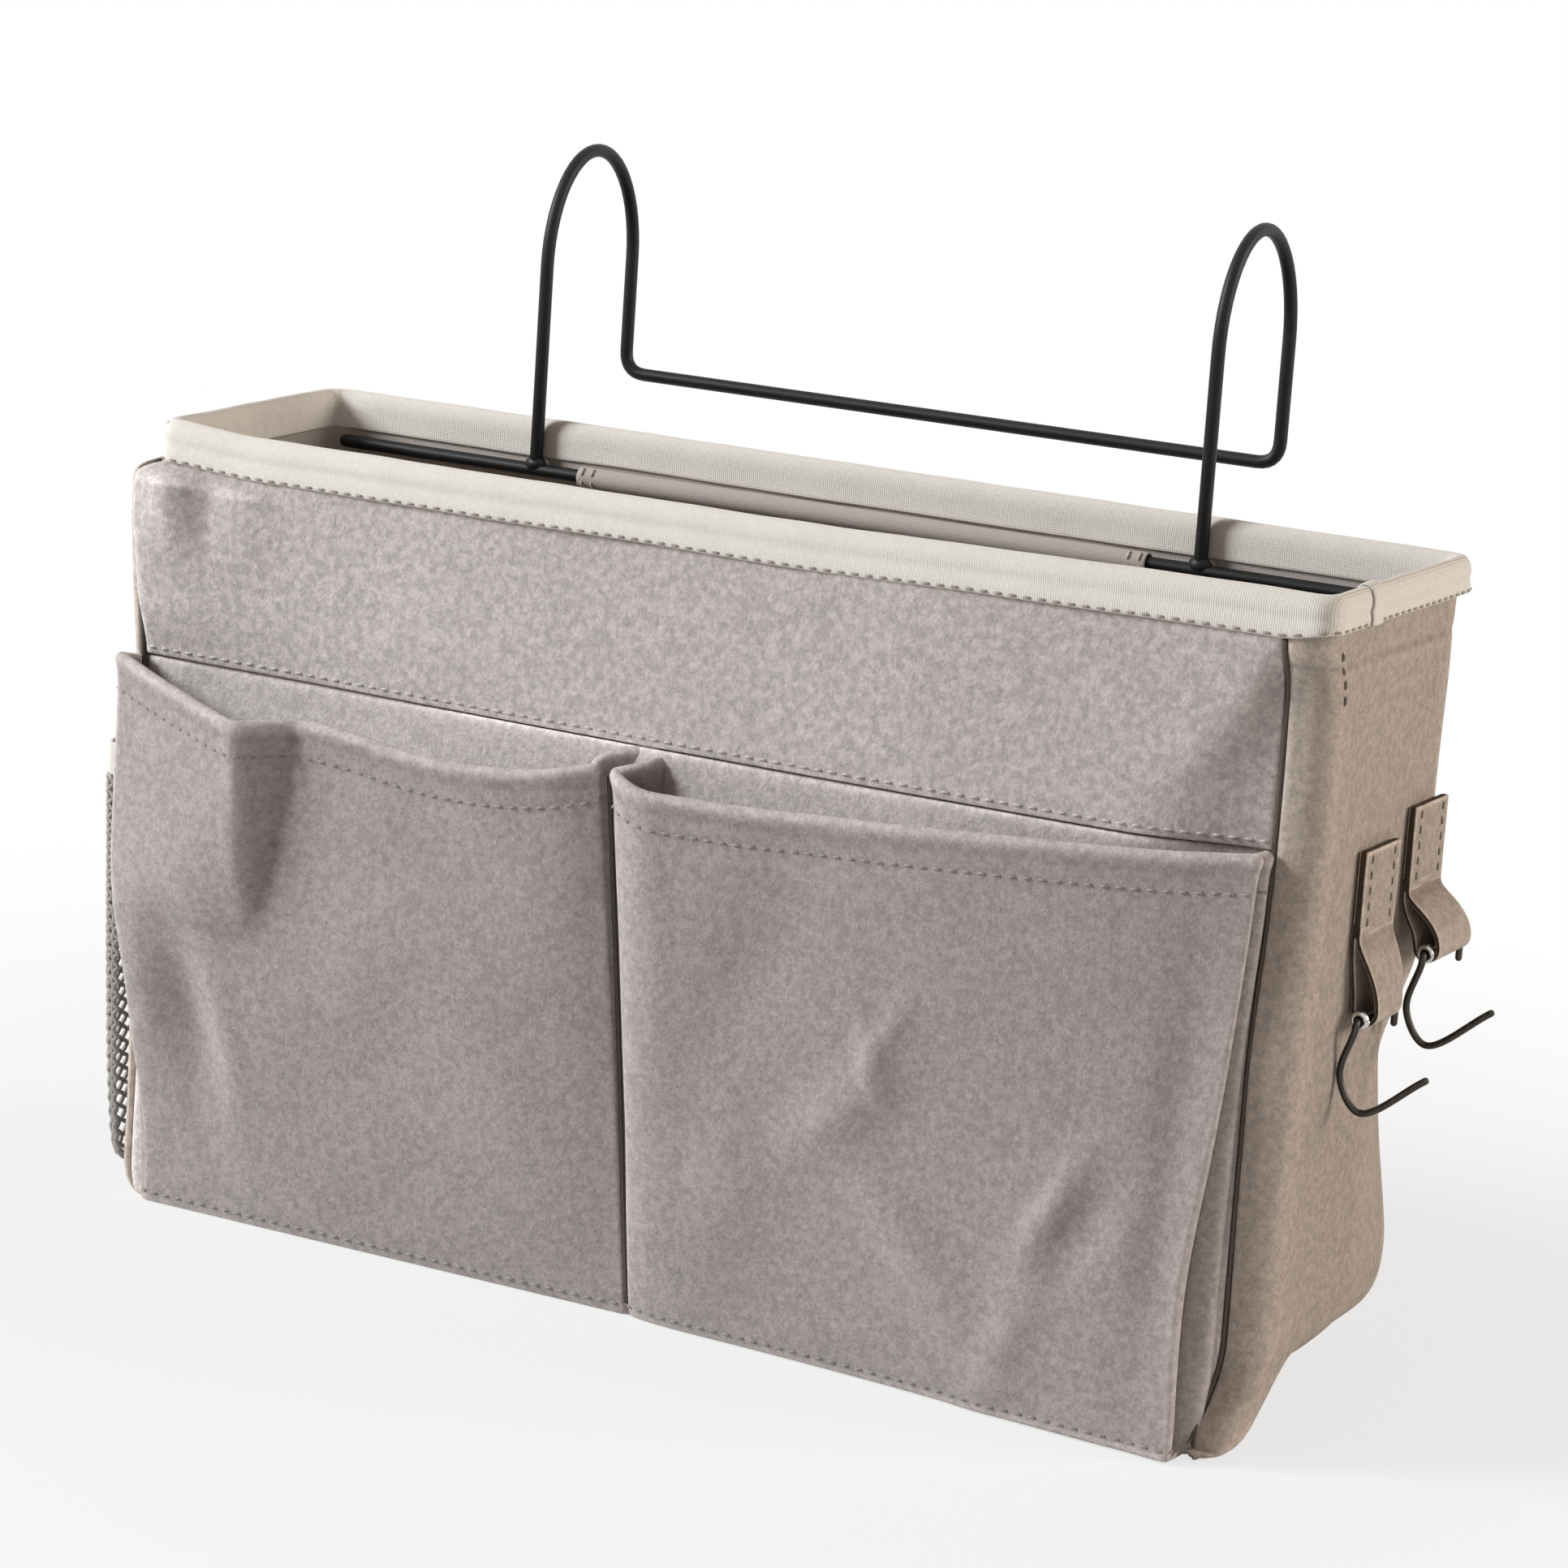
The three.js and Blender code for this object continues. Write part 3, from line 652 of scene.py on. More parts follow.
def stitches(name, lines, material):
    """Short thread stitches, each half sunk in the cloth, along lines of (points, normals)."""
    points, faces = [], []
    angles = ring_angles(STITCH_SIDES)
    for line, normals in lines:
        along = distances(line)
        places = np.arange(STITCH_PITCH / 2, along[-1], STITCH_PITCH)
        centres = at_places(places, along, line)
        directions = unit(at_places(places + 0.5, along, line) - at_places(places - 0.5, along, line))
        ups = unit(at_places(places, along, np.broadcast_to(normals, line.shape)))
        for centre, ahead, up in zip(centres, directions, ups):
            across = np.cross(ahead, up)
            faces += tube_faces(len(STITCH_RINGS), STITCH_SIDES, len(points))
            for place, size, rise in STITCH_RINGS:
                middle = centre + ahead * place * STITCH_LENGTH + up * rise * STITCH_RADIUS
                for angle in angles:
                    out = across * math.cos(angle) + up * math.sin(angle)
                    points.append(middle + out * STITCH_RADIUS * size)
    return piece(name, mesh_of(name, points, faces), material)


# Materials

def put(socket, value):
    """Links an input to a socket, or sets it to a plain value."""
    if isinstance(value, bpy.types.NodeSocket):
        socket.id_data.links.new(value, socket)
    else:
        socket.default_value = value


def add_node(tree, kind, output, inputs=None, **settings):
    """Adds a node with its settings and inputs, and returns one of its outputs."""
    node = tree.nodes.new("ShaderNode" + kind)
    for name, value in settings.items():
        setattr(node, name, value)
    for key, value in (inputs or {}).items():
        put(node.inputs[key], value)
    return node.outputs[output]


class Look:
    """One material's nodes, on the rest coordinates of the piece that wears it."""

    def __init__(self, name):
        self.material = bpy.data.materials.new(name)
        self.material.use_nodes = True
        self.tree = self.material.node_tree
        self.shader = self.tree.nodes["Principled BSDF"]
        self.coordinates = self.add("TexCoord", "Object")

    def add(self, kind, output, inputs=None, **settings):
        return add_node(self.tree, kind, output, inputs, **settings)

    def noise(self, scale, detail=2.0, grain=0.5, stretch=None):
        source = self.coordinates
        if stretch:
            source = self.add("Mapping", "Vector", {"Vector": source, "Scale": stretch})
        inputs = {"Vector": source, "Scale": scale, "Detail": detail, "Roughness": grain}
        return self.add("TexNoise", "Fac", inputs)

    def bands(self, scale, direction):
        inputs = {"Vector": self.coordinates, "Scale": scale, "Distortion": 0.6, "Detail": 1.0}
        return self.add("TexWave", "Fac", inputs, bands_direction=direction)

    def ramp(self, factor, *stops):
        """Colours at places of the factor; a third stop may lie between the first two."""
        colour = self.add("ValToRGB", "Color", {"Fac": factor})
        elements = colour.node.color_ramp.elements
        for index, (place, stop) in enumerate(stops):
            element = elements[index] if index < 2 else elements.new(place)
            element.position = place
            element.color = (*stop, 1.0)
        return colour

    def times(self, a, b):
        """The product of two colours."""
        inputs = {"Factor": 1.0, 6: a, 7: b}
        return self.add("Mix", 2, inputs, data_type="RGBA", blend_type="MULTIPLY")

    def sum(self, a, b, share):
        return self.add("Math", "Value", {0: b, 1: share, 2: a}, operation="MULTIPLY_ADD")

    def range(self, factor, low, high):
        return self.add("MapRange", "Result", {"Value": factor, "To Min": low, "To Max": high})

    def bump(self, height, distance, strength):
        inputs = {"Height": height, "Distance": distance * MM, "Strength": strength}
        return self.add("Bump", "Normal", inputs)

    def made(self, values):
        """The material, with these inputs of its shader."""
        for name, value in values.items():
            put(self.shader.inputs[name], value)
        return self.material


def grey(value):
    return (value, value, value)


def shade(colour, factor):
    return tuple(min(1.0, c * factor) for c in colour)


def sheen(weight, tint):
    return {"Sheen Weight": weight, "Sheen Roughness": 0.5, "Sheen Tint": (*tint, 1.0)}


def felt(name, colour, mottling=0.11):
    """Pressed fibre cloth: a salt and pepper fleck, slow stains, a grainy face, a painted highlight on
    outer edges and painted shade in folds.
    """
    look = Look(name)
    fleck = look.noise(scale=1000.0, detail=5.0, grain=0.75)
    pebble = look.noise(scale=460.0, detail=2.0, grain=0.6)
    mottle = look.noise(scale=380.0, detail=1.0)
    stain = look.noise(scale=14.0, detail=4.0)
    # Pointiness is over a half on outer edges, which get a painted highlight, and under it in folds,
    # which get painted shade
    edge_light_fold_shade = look.add("NewGeometry", "Pointiness")
    tone = look.ramp(fleck, (0.34, shade(colour, 0.81)), (0.66, shade(colour, 1.18)), (0.5, colour))
    for layer in (
        look.ramp(stain, (0.3, (0.95, 0.945, 0.94)), (0.7, grey(1.02))),
        look.ramp(mottle, (0.34, grey(1 - mottling)), (0.66, grey(1 + mottling))),
        look.ramp(edge_light_fold_shade, (0.475, (0.66, 0.63, 0.61)), (0.53, grey(1.48)), (0.502, grey(1.0))),
    ):
        tone = look.times(tone, layer)
    return look.made({
        "Base Color": tone, "Roughness": 0.95, "Specular IOR Level": 0.15,
        "Normal": look.bump(look.sum(fleck, pebble, 0.8), distance=0.46, strength=0.6),
        **sheen(0.06, shade(colour, 1.5)),
    })


def woven(name, colour, pitch):
    """Plain woven cloth or tape: crossing threads of the given pitch and a faint slub."""
    look = Look(name)
    scale = 0.5 / (pitch * MM) / math.pi * 1.6
    weave = look.sum(look.bands(scale, "X"), look.bands(scale, "Z"), 0.8)
    slub = look.noise(scale=700.0, detail=4.0, grain=0.7)
    tone = look.ramp(slub, (0.3, shade(colour, 0.94)), (0.7, shade(colour, 1.04)))
    # Darker in the weave's furrows: painted shade in the recesses between threads
    furrow_shade = look.ramp(weave, (0.1, (0.95, 0.945, 0.94)), (1.0, grey(1.0)))
    return look.made({
        "Base Color": look.times(tone, furrow_shade), "Roughness": 0.9, "Specular IOR Level": 0.2,
        "Normal": look.bump(look.sum(weave, slub, 0.9), distance=0.16, strength=0.45),
        **sheen(0.05, (1.0, 0.98, 0.95)),
    })


def thread(name, colour):
    look = Look(name)
    twist = look.noise(scale=1800.0, detail=1.0)
    return look.made({
        "Base Color": look.ramp(twist, (0.35, shade(colour, 0.75)), (0.65, shade(colour, 1.12))),
        "Roughness": 0.6, "Normal": look.bump(twist, distance=0.12, strength=0.5),
    })


def coated_wire(name, colour):
    """Satin black paint with a faint orange peel and worn patches."""
    look = Look(name)
    wear = look.noise(scale=60.0, detail=4.0)
    return look.made({
        "Base Color": look.ramp(wear, (0.35, colour), (0.75, shade(colour, 2.4))),
        "Roughness": look.range(wear, 0.36, 0.56), "Specular IOR Level": 0.25,
        "Normal": look.bump(look.noise(scale=900.0), distance=0.06, strength=0.35),
    })


def plated_wire(name, colour, roughness):
    look = Look(name)
    drawn = look.noise(scale=700.0, stretch=(1.0, 1.0, 0.06))
    return look.made({
        "Base Color": look.ramp(drawn, (0.3, shade(colour, 0.72)), (0.7, shade(colour, 1.25))),
        "Roughness": look.range(drawn, roughness - 0.08, roughness + 0.1), "Metallic": 0.9,
        "Normal": look.bump(drawn, distance=0.03, strength=0.3),
    })


GREY_FELT = felt("grey_felt", (0.55, 0.513, 0.509), 0.145)
# A lighter copy of the grey felt: painted light on the backing in the shaded pocket mouths
LIT_BACKING_FELT = felt("lit_backing_felt", (0.66, 0.618, 0.612))
# The pockets' felt is a darker copy of the grey felt: painted shade, because the pockets take less light
# than the upper front
SHADED_POCKET_FELT = felt("shaded_pocket_felt", (0.405, 0.372, 0.366))
# A darker, warmer copy of the grey felt for the sides, base and straps: painted warm shade
WARM_SHADED_FELT = felt("side_felt", (0.46, 0.402, 0.358))
# Near-black felt on the straps' raw edges: painted shade along them
EDGE_SHADE_FELT = felt("dark_edge_shade", (0.050, 0.036, 0.026))
LINING_CLOTH = woven("lining_cloth", (0.50, 0.455, 0.43), 0.5)
TAPE_CLOTH = woven("cream_tape", (0.81, 0.782, 0.74), 0.55)
BOARD = felt("board", (0.60, 0.58, 0.54))
# Grey yarn for a pale net, darker than the net is: painted shade of the dark holes
NET_YARN_AND_HOLE_SHADE = thread("net_yarn_and_hole_shade", (0.36, 0.345, 0.335))
ELASTIC = woven("elastic", (0.72, 0.69, 0.65), 0.6)
GREY_THREAD = thread("grey_thread", (0.56, 0.52, 0.50))
FELT_THREAD = thread("felt_thread", (0.32, 0.29, 0.28))
# Near-black stitches: painted shade of the needle holes, on thread that is the colour of the cloth
NEEDLE_HOLE_SHADE = thread("needle_hole_shade", (0.17, 0.135, 0.105))
# Near-black cords in the front seams and in the pockets' slit: painted shade of their grooves
SEAM_SHADE_CORD = thread("seam_shade_cord", (0.085, 0.066, 0.052))
# Taupe stitches, darker than the tape: thread, and partly painted shade under the tape's lower edge
TAPE_THREAD_AND_SHADE = thread("tape_thread_and_shade", (0.36, 0.32, 0.28))
BLACK_WIRE = coated_wire("black_wire", (0.004, 0.004, 0.004))
STEEL_WIRE = plated_wire("steel_wire", (0.055, 0.048, 0.042), 0.34)
BRIGHT_WIRE = plated_wire("bright_wire", (0.60, 0.58, 0.55), 0.22)


# Bag walls

def side_path(front_seam, front_radius):
    """Plan of the right side cloth, from its front seam round both corners to its back seam."""
    inward = 1 - np.sin(np.linspace(0, math.pi / 2, CORNER_STEPS))
    back = 1 - np.cos(np.linspace(0, math.pi / 2, CORNER_STEPS))
    return np.concatenate([
        [(front_seam, -HALF_Y)],
        np.column_stack([HALF_X - front_radius * inward, front_radius * back - HALF_Y]),
        np.column_stack([HALF_X - CORNER_RADIUS * back, HALF_Y - CORNER_RADIUS * inward]),
        [(SEAM_X, HALF_Y)],
    ])


def front_panel(low, high, sink, seed):
    """A flat front cloth between the upright seams, with soft swells; sink is its depth at each point."""
    across, turn_x = sewn(spread(-LEFT_SEAM_X, SEAM_X, PANEL_STEP))
    heights, turn_z = sewn(rows_up(low, high))
    grid = points_at(across, -HALF_Y, heights[:, None])
    x, z = grid[..., 0], grid[..., 2]
    turn = np.maximum(turn_x, FRONT_TURN_SHARE * turn_z[:, None])
    swell = swells(grid, (0.9, 95.0, seed), (0.35, 34.0, seed + 7))
    return dent(soften(grid), turn + sink(x, z) + swell - belly(x, z))


def back_grid():
    across, turn_x = sewn(spread(-SEAM_X, SEAM_X, PANEL_STEP))
    heights, turn_z = sewn(rows_up(HEEL_RISE, CLOTH_TOP), end=False)
    grid = points_at(across[::-1], HALF_Y, heights[:, None])
    swell = swells(grid, (1.1, 100.0, 31.0), (0.4, 36.0, 37.0)) * (1 - ease(grid[..., 2], *BACK_CALM_Z))
    return dent(soften(grid), np.maximum(turn_x, turn_z[:, None]) + swell)


def gusset_grid(side):
    """A side cloth: its under edge from the base seam, and its wall up to the rim."""
    path = side_path(SEAM_X, CORNER_RADIUS) if side > 0 else side_path(LEFT_SEAM_X, LEFT_CORNER_RADIUS)
    along = distances(path)
    places, turn_x = sewn(spread(0, along[-1], SIDE_STEP))
    plan = at_places(places, along, path)
    wall = over_plan(plan, rows_up(0.0, CLOTH_TOP)[:, None])
    shares = np.linspace(0, 1, 5)[:-1, None]
    grid = np.concatenate([points_at(between(SEAM_X, plan[:, 0], shares), plan[:, 1], 0.0), wall])
    if side < 0:
        grid = grid[:, ::-1] * (-1, 1, 1)
        turn_x = turn_x[::-1]
    y, z = grid[..., 1], grid[..., 2]
    calm = 1 - ease(z, *SIDE_CALM_Z)
    clear_of_straps = 1 - (side > 0) * bell(y, *STRAPS_CALM[0]) * bell(z, *STRAPS_CALM[1])
    swell = swells(grid, (1.5, 78.0, 11.0 + side), (0.5, 30.0, 17.0 + side))
    fold = (side > 0) * LINING_FOLD * bell(z, LINING_FOLD_Z, 1.0)
    return dent(soften(grid), turn_x + fold + swell * calm * clear_of_straps)


def bottom_grid():
    """The base, which runs on up the heel to the back's foot."""
    across, turn_x = sewn(spread(-SEAM_X, SEAM_X, PANEL_STEP))
    rows, turn_y = (v[:, None] for v in sewn(spread(0, 2 * HALF_Y + HEEL_RISE, PANEL_STEP)))
    grid = points_at(across[::-1], np.minimum(rows - HALF_Y, HALF_Y), np.maximum(rows - 2 * HALF_Y, 0))
    return dent(soften(grid), np.maximum(turn_x, turn_y))


def panel_sink(x, z):
    """A pull under the tape near the upper panel's left end, whose corner stands forward."""
    pull = sum(depth * bell(x, place, width) for place, width, depth in PULLS)
    pillow = PILLOW * bell(x, PILLOW_MIDDLE, PILLOW_SPREAD) * ease(z, *PILLOW_Z)
    return (1 - ease(z, *PULL_FADE_Z)) * (ease(z, *PULL_Z) * pull - pillow)


def backing_sink(x, z):
    return BACKING_SINK * ease(z, *BACKING_SINK_Z)


UPPER_FRONT = front_panel(POCKET_SEAM_Z, CLOTH_TOP, panel_sink, seed=3.0)
BACKING = front_panel(0.0, POCKET_SEAM_Z, backing_sink, seed=5.0)
RIGHT_SIDE = gusset_grid(1)
cloth("upper_front", UPPER_FRONT, GREY_FELT, ["upper_front_panel"])
cloth("backing", BACKING, LIT_BACKING_FELT, ["pocket_backing"])
cloth("back", back_grid(), GREY_FELT, ["back_panel"])
cloth("left_side", gusset_grid(-1), WARM_SHADED_FELT, ["left_gusset"])
cloth("right_side", RIGHT_SIDE, WARM_SHADED_FELT, ["right_gusset"])
cloth("base", bottom_grid(), WARM_SHADED_FELT, ["bottom_panel"])

# Dark cords let into the upright front seams: painted shade in the seams' grooves
for name, x, low in (
    ("left_seam_shade", -LEFT_SEAM_X, LEFT_CORD_FOOT), ("right_seam_shade", SEAM_X, RIGHT_CORD_FOOT),
):
    cord_path = soften(points_at(x, SEAM_CORD - HALF_Y, rows_up(low, TAPE_LOW_OUTSIDE)))
    tubes(name, [cord_path], SEAM_CORD, CORD_SIDES, SEAM_SHADE_CORD)

# A short upright row of dark stitches at the right side's front corner: painted shade of their needle
# holes
corner = np.argmin(np.abs(RIGHT_SIDE[-1, :, 1] - CORNER_STITCH_Y))
corner_z = RIGHT_SIDE[:, corner, 2]
corner_rows = (corner_z > CORNER_STITCH_Z[0]) & (corner_z < CORNER_STITCH_Z[1])
corner_line = (RIGHT_SIDE[corner_rows, corner], outward(RIGHT_SIDE)[corner_rows, corner])
stitches("corner_stitches", [corner_line], NEEDLE_HOLE_SHADE)


# Inside: boards and lining

def board(name, half_x, y, z, node):
    """A thin board as a sheet that follows the soft bag; y or z has a column of places."""
    grid = soften(points_at(spread(-half_x, half_x, BOARD_STEP), y, z))
    cloth(name, grid, BOARD, [node], INNER_SHEET, 0.0)


def rim_outline(inset_x, inset_y, radii, step):
    """Rounded rectangle of the bag's plan drawn in by the given amounts, anticlockwise and closed."""
    points = []
    for quarter, (sx, sy) in enumerate(((1, -1), (1, 1), (-1, 1), (-1, -1))):
        radius = radii[quarter]
        cx = sx * (HALF_X - inset_x - radius)
        cy = sy * (HALF_Y - inset_y - radius)
        for t in np.linspace(-math.pi / 2, 0, CORNER_STEPS) + quarter * math.pi / 2:
            points.append((cx + radius * math.cos(t), cy + radius * math.sin(t)))
    path = np.array(points + points[:1])
    along = distances(path)
    return at_places(spread(0, along[-1], step)[:-1], along, path)


def lining_grid():
    """A tub: the walls from the rim down, then the floor drawn in to its middle line."""
    outline = rim_outline(LINING_X, LINING_Y, LINING_RADII, LINING_STEP)
    upper = spread(LINING_FOOT_ROWS[0], LINING_TOP, LINING_ROW)[:0:-1]
    walls = over_plan(outline, np.concatenate([upper, LINING_FOOT_ROWS])[:, None])
    middle = np.clip(outline, (-LINING_MIDDLE_X, 0), (LINING_MIDDLE_X, 0))
    shares = np.linspace(1, 0, LINING_FLOOR_ROWS + 1)[1:, None, None]
    floor = over_plan(between(middle, outline, shares), LINING_Y)
    grid = np.concatenate([walls, floor])[::-1]
    swell = swells(grid, (0.5, 60.0, 51.0)) * (1 - ease(grid[..., 2], *LINING_CALM_Z))
    return soften(grid) + outward(grid) * np.minimum(swell, 0)[..., None]


front_rows = spread(BOARD_FOOT, BOARD_TOP, BOARD_STEP)[:, None]
back_rows = spread(BACK_BOARD_FOOT, BOARD_TOP, BOARD_STEP)[:, None]
base_rows = spread(BASE_BOARD_FRONT, HALF_Y - HEEL_RUN, BOARD_STEP)[:, None]
board("front_stiffener", BOARD_X, -BOARD_Y, front_rows, "front_board")
board("back_stiffener", BOARD_X, BOARD_Y, back_rows, "back_board")
board("base_stiffener", BASE_BOARD_X, base_rows, BASE_BOARD_Z, "bottom_board")
cloth("lining_tub", lining_grid(), LINING_CLOTH, ["lining"], INNER_SHEET, 0.0, True)


# Rim binding

def binding_grid():
    """Tape over the rim: up the outside, round the top and down the inside."""
    outer = rim_outline(-TAPE_OUT, -TAPE_OUT, TAPE_OUTER_RADII, TAPE_STEP)
    inner = rim_outline(TAPE_IN_X, TAPE_IN_Y, TAPE_INNER_RADII, TAPE_STEP)
    inner = np.array([inner[np.argmin(np.linalg.norm(inner - p, axis=1))] for p in outer])
    foot = TAPE_LOW_OUTSIDE + TAPE_LOW_RIGHT * ease(outer[:, 0], *TAPE_LOW_RIGHT_X)
    up = np.linspace(0, 1, TAPE_ROWS)
    turn = np.linspace(0, math.pi, TAPE_TOP_ROWS + 2)[1:-1, None]
    top = between(outer, inner, (1 - np.cos(turn[..., None])) / 2)
    grid = np.concatenate([
        over_plan(outer, between(foot, TAPE_BEND_Z, up[:, None])),
        over_plan(top, TAPE_BEND_Z + TAPE_BEND * np.sin(turn)),
        over_plan(inner, between(TAPE_BEND_Z, TAPE_LOW_INSIDE, up[:, None])),
    ])
    near_edge = np.concatenate([up[::-1], np.zeros(TAPE_TOP_ROWS), up])[:, None]
    grid[..., 2] += swells(grid, (0.5, 42.0, 61.0)) * near_edge
    depth = np.full((len(grid), 1), TAPE_DENT)
    depth[:TAPE_ROWS, 0] += TAPE_FOLD
    return settle_rim(dent(grid, depth - swells(grid, (0.25, 17.0, 67.0))), HEIGHT)


BINDING = binding_grid()
cloth("binding", BINDING, TAPE_CLOTH, ["rim_binding"], TAPE, 0.0, True)
tape_outside = BINDING[:TAPE_ROWS]
tape_line = line_on(tape_outside, tape_outside[0, :, 2] + TAPE_STITCH, TAPE / 2)
stitches("binding_stitches", [tape_line], TAPE_THREAD_AND_SHADE)

# The tape's end laps over its start on the right side
on_right = (BINDING[0, :, 0] > HALF_X) & (np.abs(BINDING[0, :, 1] - TAPE_LAP_Y) < TAPE_LAP / 2)
lap = BINDING[:TAPE_LAP_ROWS, on_right]
cloth("tape_end", dent(lap, np.full(lap.shape[:2], -TAPE)), TAPE_CLOTH, (), TAPE, 0.0)


# Front pockets

class Pocket:
    """A bellows pocket: its front, its folded sides, its floor and its hem.

    The seams and edges run up, as (share of the height, x). The mouth and foot run across, as (share
    of the width, room in front of the bag), and the hem as (share of the width, z). The sides bow by
    an amount at the mouth, rise by another towards the seam, and fold in and out by the two pleats.
    Marks are soft folds, each with its middle, turn in degrees, length, width and push. The crease is
    one sharp fold that runs down from the hem and dies out, with its upper and lower end, the width
    of its two faces and its push.
    """

    def __init__(self, seams, edges, mouth, foot, hem, bow, rise, pleats, marks, crease):
        self.seams, self.edges = seams, edges
        self.mouth, self.foot, self.hem = mouth, foot, hem
        self.bow, self.rise, self.pleats = bow, rise, pleats
        self.marks, self.crease = marks, crease

    def front(self, s, t):
        """Points of the front face at shares s across and t up."""
        x = between(curve(self.edges[0], t), curve(self.edges[1], t), s)
        z = between(POCKET_FOOT_Z, curve(self.hem, s), t)
        room = between(curve(self.foot, s), curve(self.mouth, s), t ** POCKET_FILL)
        y = POCKET_BACK - room - POCKET_CLOTH / 2 - POCKET_PLAY - self.ridge(x, z)
        for mark_x, mark_z, turn, length, width, push in self.marks:
            c, d = math.cos(math.radians(turn)), math.sin(math.radians(turn))
            along = (x - mark_x) * c + (z - mark_z) * d
            across = (z - mark_z) * c - (x - mark_x) * d
            y = y - push * bell(along, 0, length) * bell(across, 0, width)
        return points_at(x, np.minimum(y, POCKET_BACK - POCKET_LEAST_ROOM), z)

    def ridge(self, x, z):
        """How far the crease stands forward."""
        if not self.crease:
            return 0.0
        (top_x, top_z), (foot_x, foot_z), left, right, push = self.crease
        t = np.clip((z - foot_z) / (top_z - foot_z), 0, 1)
        from_ridge = x - between(foot_x, top_x, t)
        faces = np.minimum(1 + from_ridge / left, 1 - from_ridge / between(CREASE_FOOT, right, t))
        return push * t * (2 - t) * np.clip(faces, 0, 1)

    def side(self, end, g, t):
        """Points of a folded side at shares g from the front corner back to the seam."""
        corner = self.front(np.full_like(t, end), t)
        seam_x, seam_z = curve(self.seams[end], t), corner[..., 2] + self.rise[end] * t
        seam = points_at(seam_x, POCKET_SEAM_Y + fall(seam_x, seam_z), seam_z)
        points = between(corner, seam, g[..., None])
        depth = np.clip((seam[..., 1] - corner[..., 1]) / PLEAT_FULL, 0, 1)
        fold_in, fold_out = self.pleats[end]
        fold = fold_in * bell(g, *PLEAT_IN) - fold_out * bell(g, *PLEAT_OUT)
        points[..., 0] += (1 - 2 * end) * fold * depth + self.bow[end] * np.sin(math.pi * g) * t
        return points

    def face(self, seed):
        """The sides and the front, from the left seam round to the right seam."""
        t, g = np.meshgrid(UP_SHARES, SIDE_SHARES, indexing="ij")
        left, right = self.side(0, g, t), self.side(1, g[:, ::-1], t)
        t, s = np.meshgrid(UP_SHARES, FRONT_SHARES, indexing="ij")
        grid = np.concatenate([left, self.front(s, t), right], axis=1)
        x, y, z = grid[..., 0], grid[..., 1], grid[..., 2]
        swell = np.minimum(swells(grid, (1.0, 62.0, seed), (0.45, 24.0, seed + 3)), SWELL_LIMIT)
        y -= swell * ease(UP_SHARES, *SWELL_START)[:, None]
        y[:] = np.minimum(y, POCKET_SEAM_Y + fall(x, z))
        below = z[-1] - z
        pressed = HEM_DENT * bell(below, HEM_HEIGHT, HEM_DENT_WIDTH)
        return dent(grid, pressed - HEM_LIP * bell(below, 0, HEM_LIP_WIDTH))


def with_hem(face):
    """A pocket's whole cloth: floor, face and the hem turned over to the inside."""
    shares = np.linspace(0, 1, POCKET_FLOOR_ROWS + 1)[:-1, None]
    floor = points_at(face[0, :, 0], between(POCKET_SEAM_Y, face[0, :, 1], shares), face[0, :, 2])
    inward = unit(outward(face)[-1] * (-1, -1, 0))
    turn = np.linspace(0, math.pi, HEM_BEND_ROWS + 1)[1:, None, None]
    hem = face[-1] + HEM_BEND * (np.sin(turn) * (0, 0, 1) + inward * (1 - np.cos(turn)))
    drop = np.linspace(0, HEM_HEIGHT, HEM_INNER_ROWS + 1)[1:, None, None]
    return np.concatenate([floor, face, hem, hem[-1] - drop * (0, 0, 1)])


LEFT_POCKET = Pocket(
    seams=(((0, -180), (0.6, -186.6), (1, -188.6)), ((0, -7.5), (1, -8.8))),
    edges=(((0, -178), (0.1, -177.5), (0.2, -180), (0.3, -183), (0.44, -185.5), (0.585, -188.6),
            (0.77, -191.8), (1, -193)),
           ((0, -9.5), (0.5, -16.5), (1, -25))),
    mouth=((0, 5.5), (0.15, 10), (0.3, 14), (0.43, 14.2), (0.67, 15.4), (0.85, 15), (0.95, 12), (1, 8.5)),
    foot=((0, 0.8), (1, 0.8)),
    hem=((0, 167), (0.087, 164), (0.176, 161.4), (0.305, 157.9), (0.332, 157.3), (0.36, 157.7),
         (0.434, 158.5), (0.692, 154.9), (0.93, 157.5), (1, 160.2)),
    bow=(0.0, -5.0),
    rise=(-1.0, 7.5),
    pleats=((0.0, 0.0), (0.0, 0.0)),
    marks=((-171, 102, 20, 32, 28, 6.4), (-163, 62, 100, 30, 9, -4.2), (-149, 56, 104, 24, 6, 1.6),
           (-181, 70, 95, 26, 6, 1.4), (-100, 92, 40, 40, 16, 1.5), (-52, 60, 120, 36, 14, 1.4),
           (-70, 128, 150, 30, 12, -1.2)),
    crease=((-138.4, 157.5), (-139.0, 92.0), 52.0, 15.5, 10.5),
)
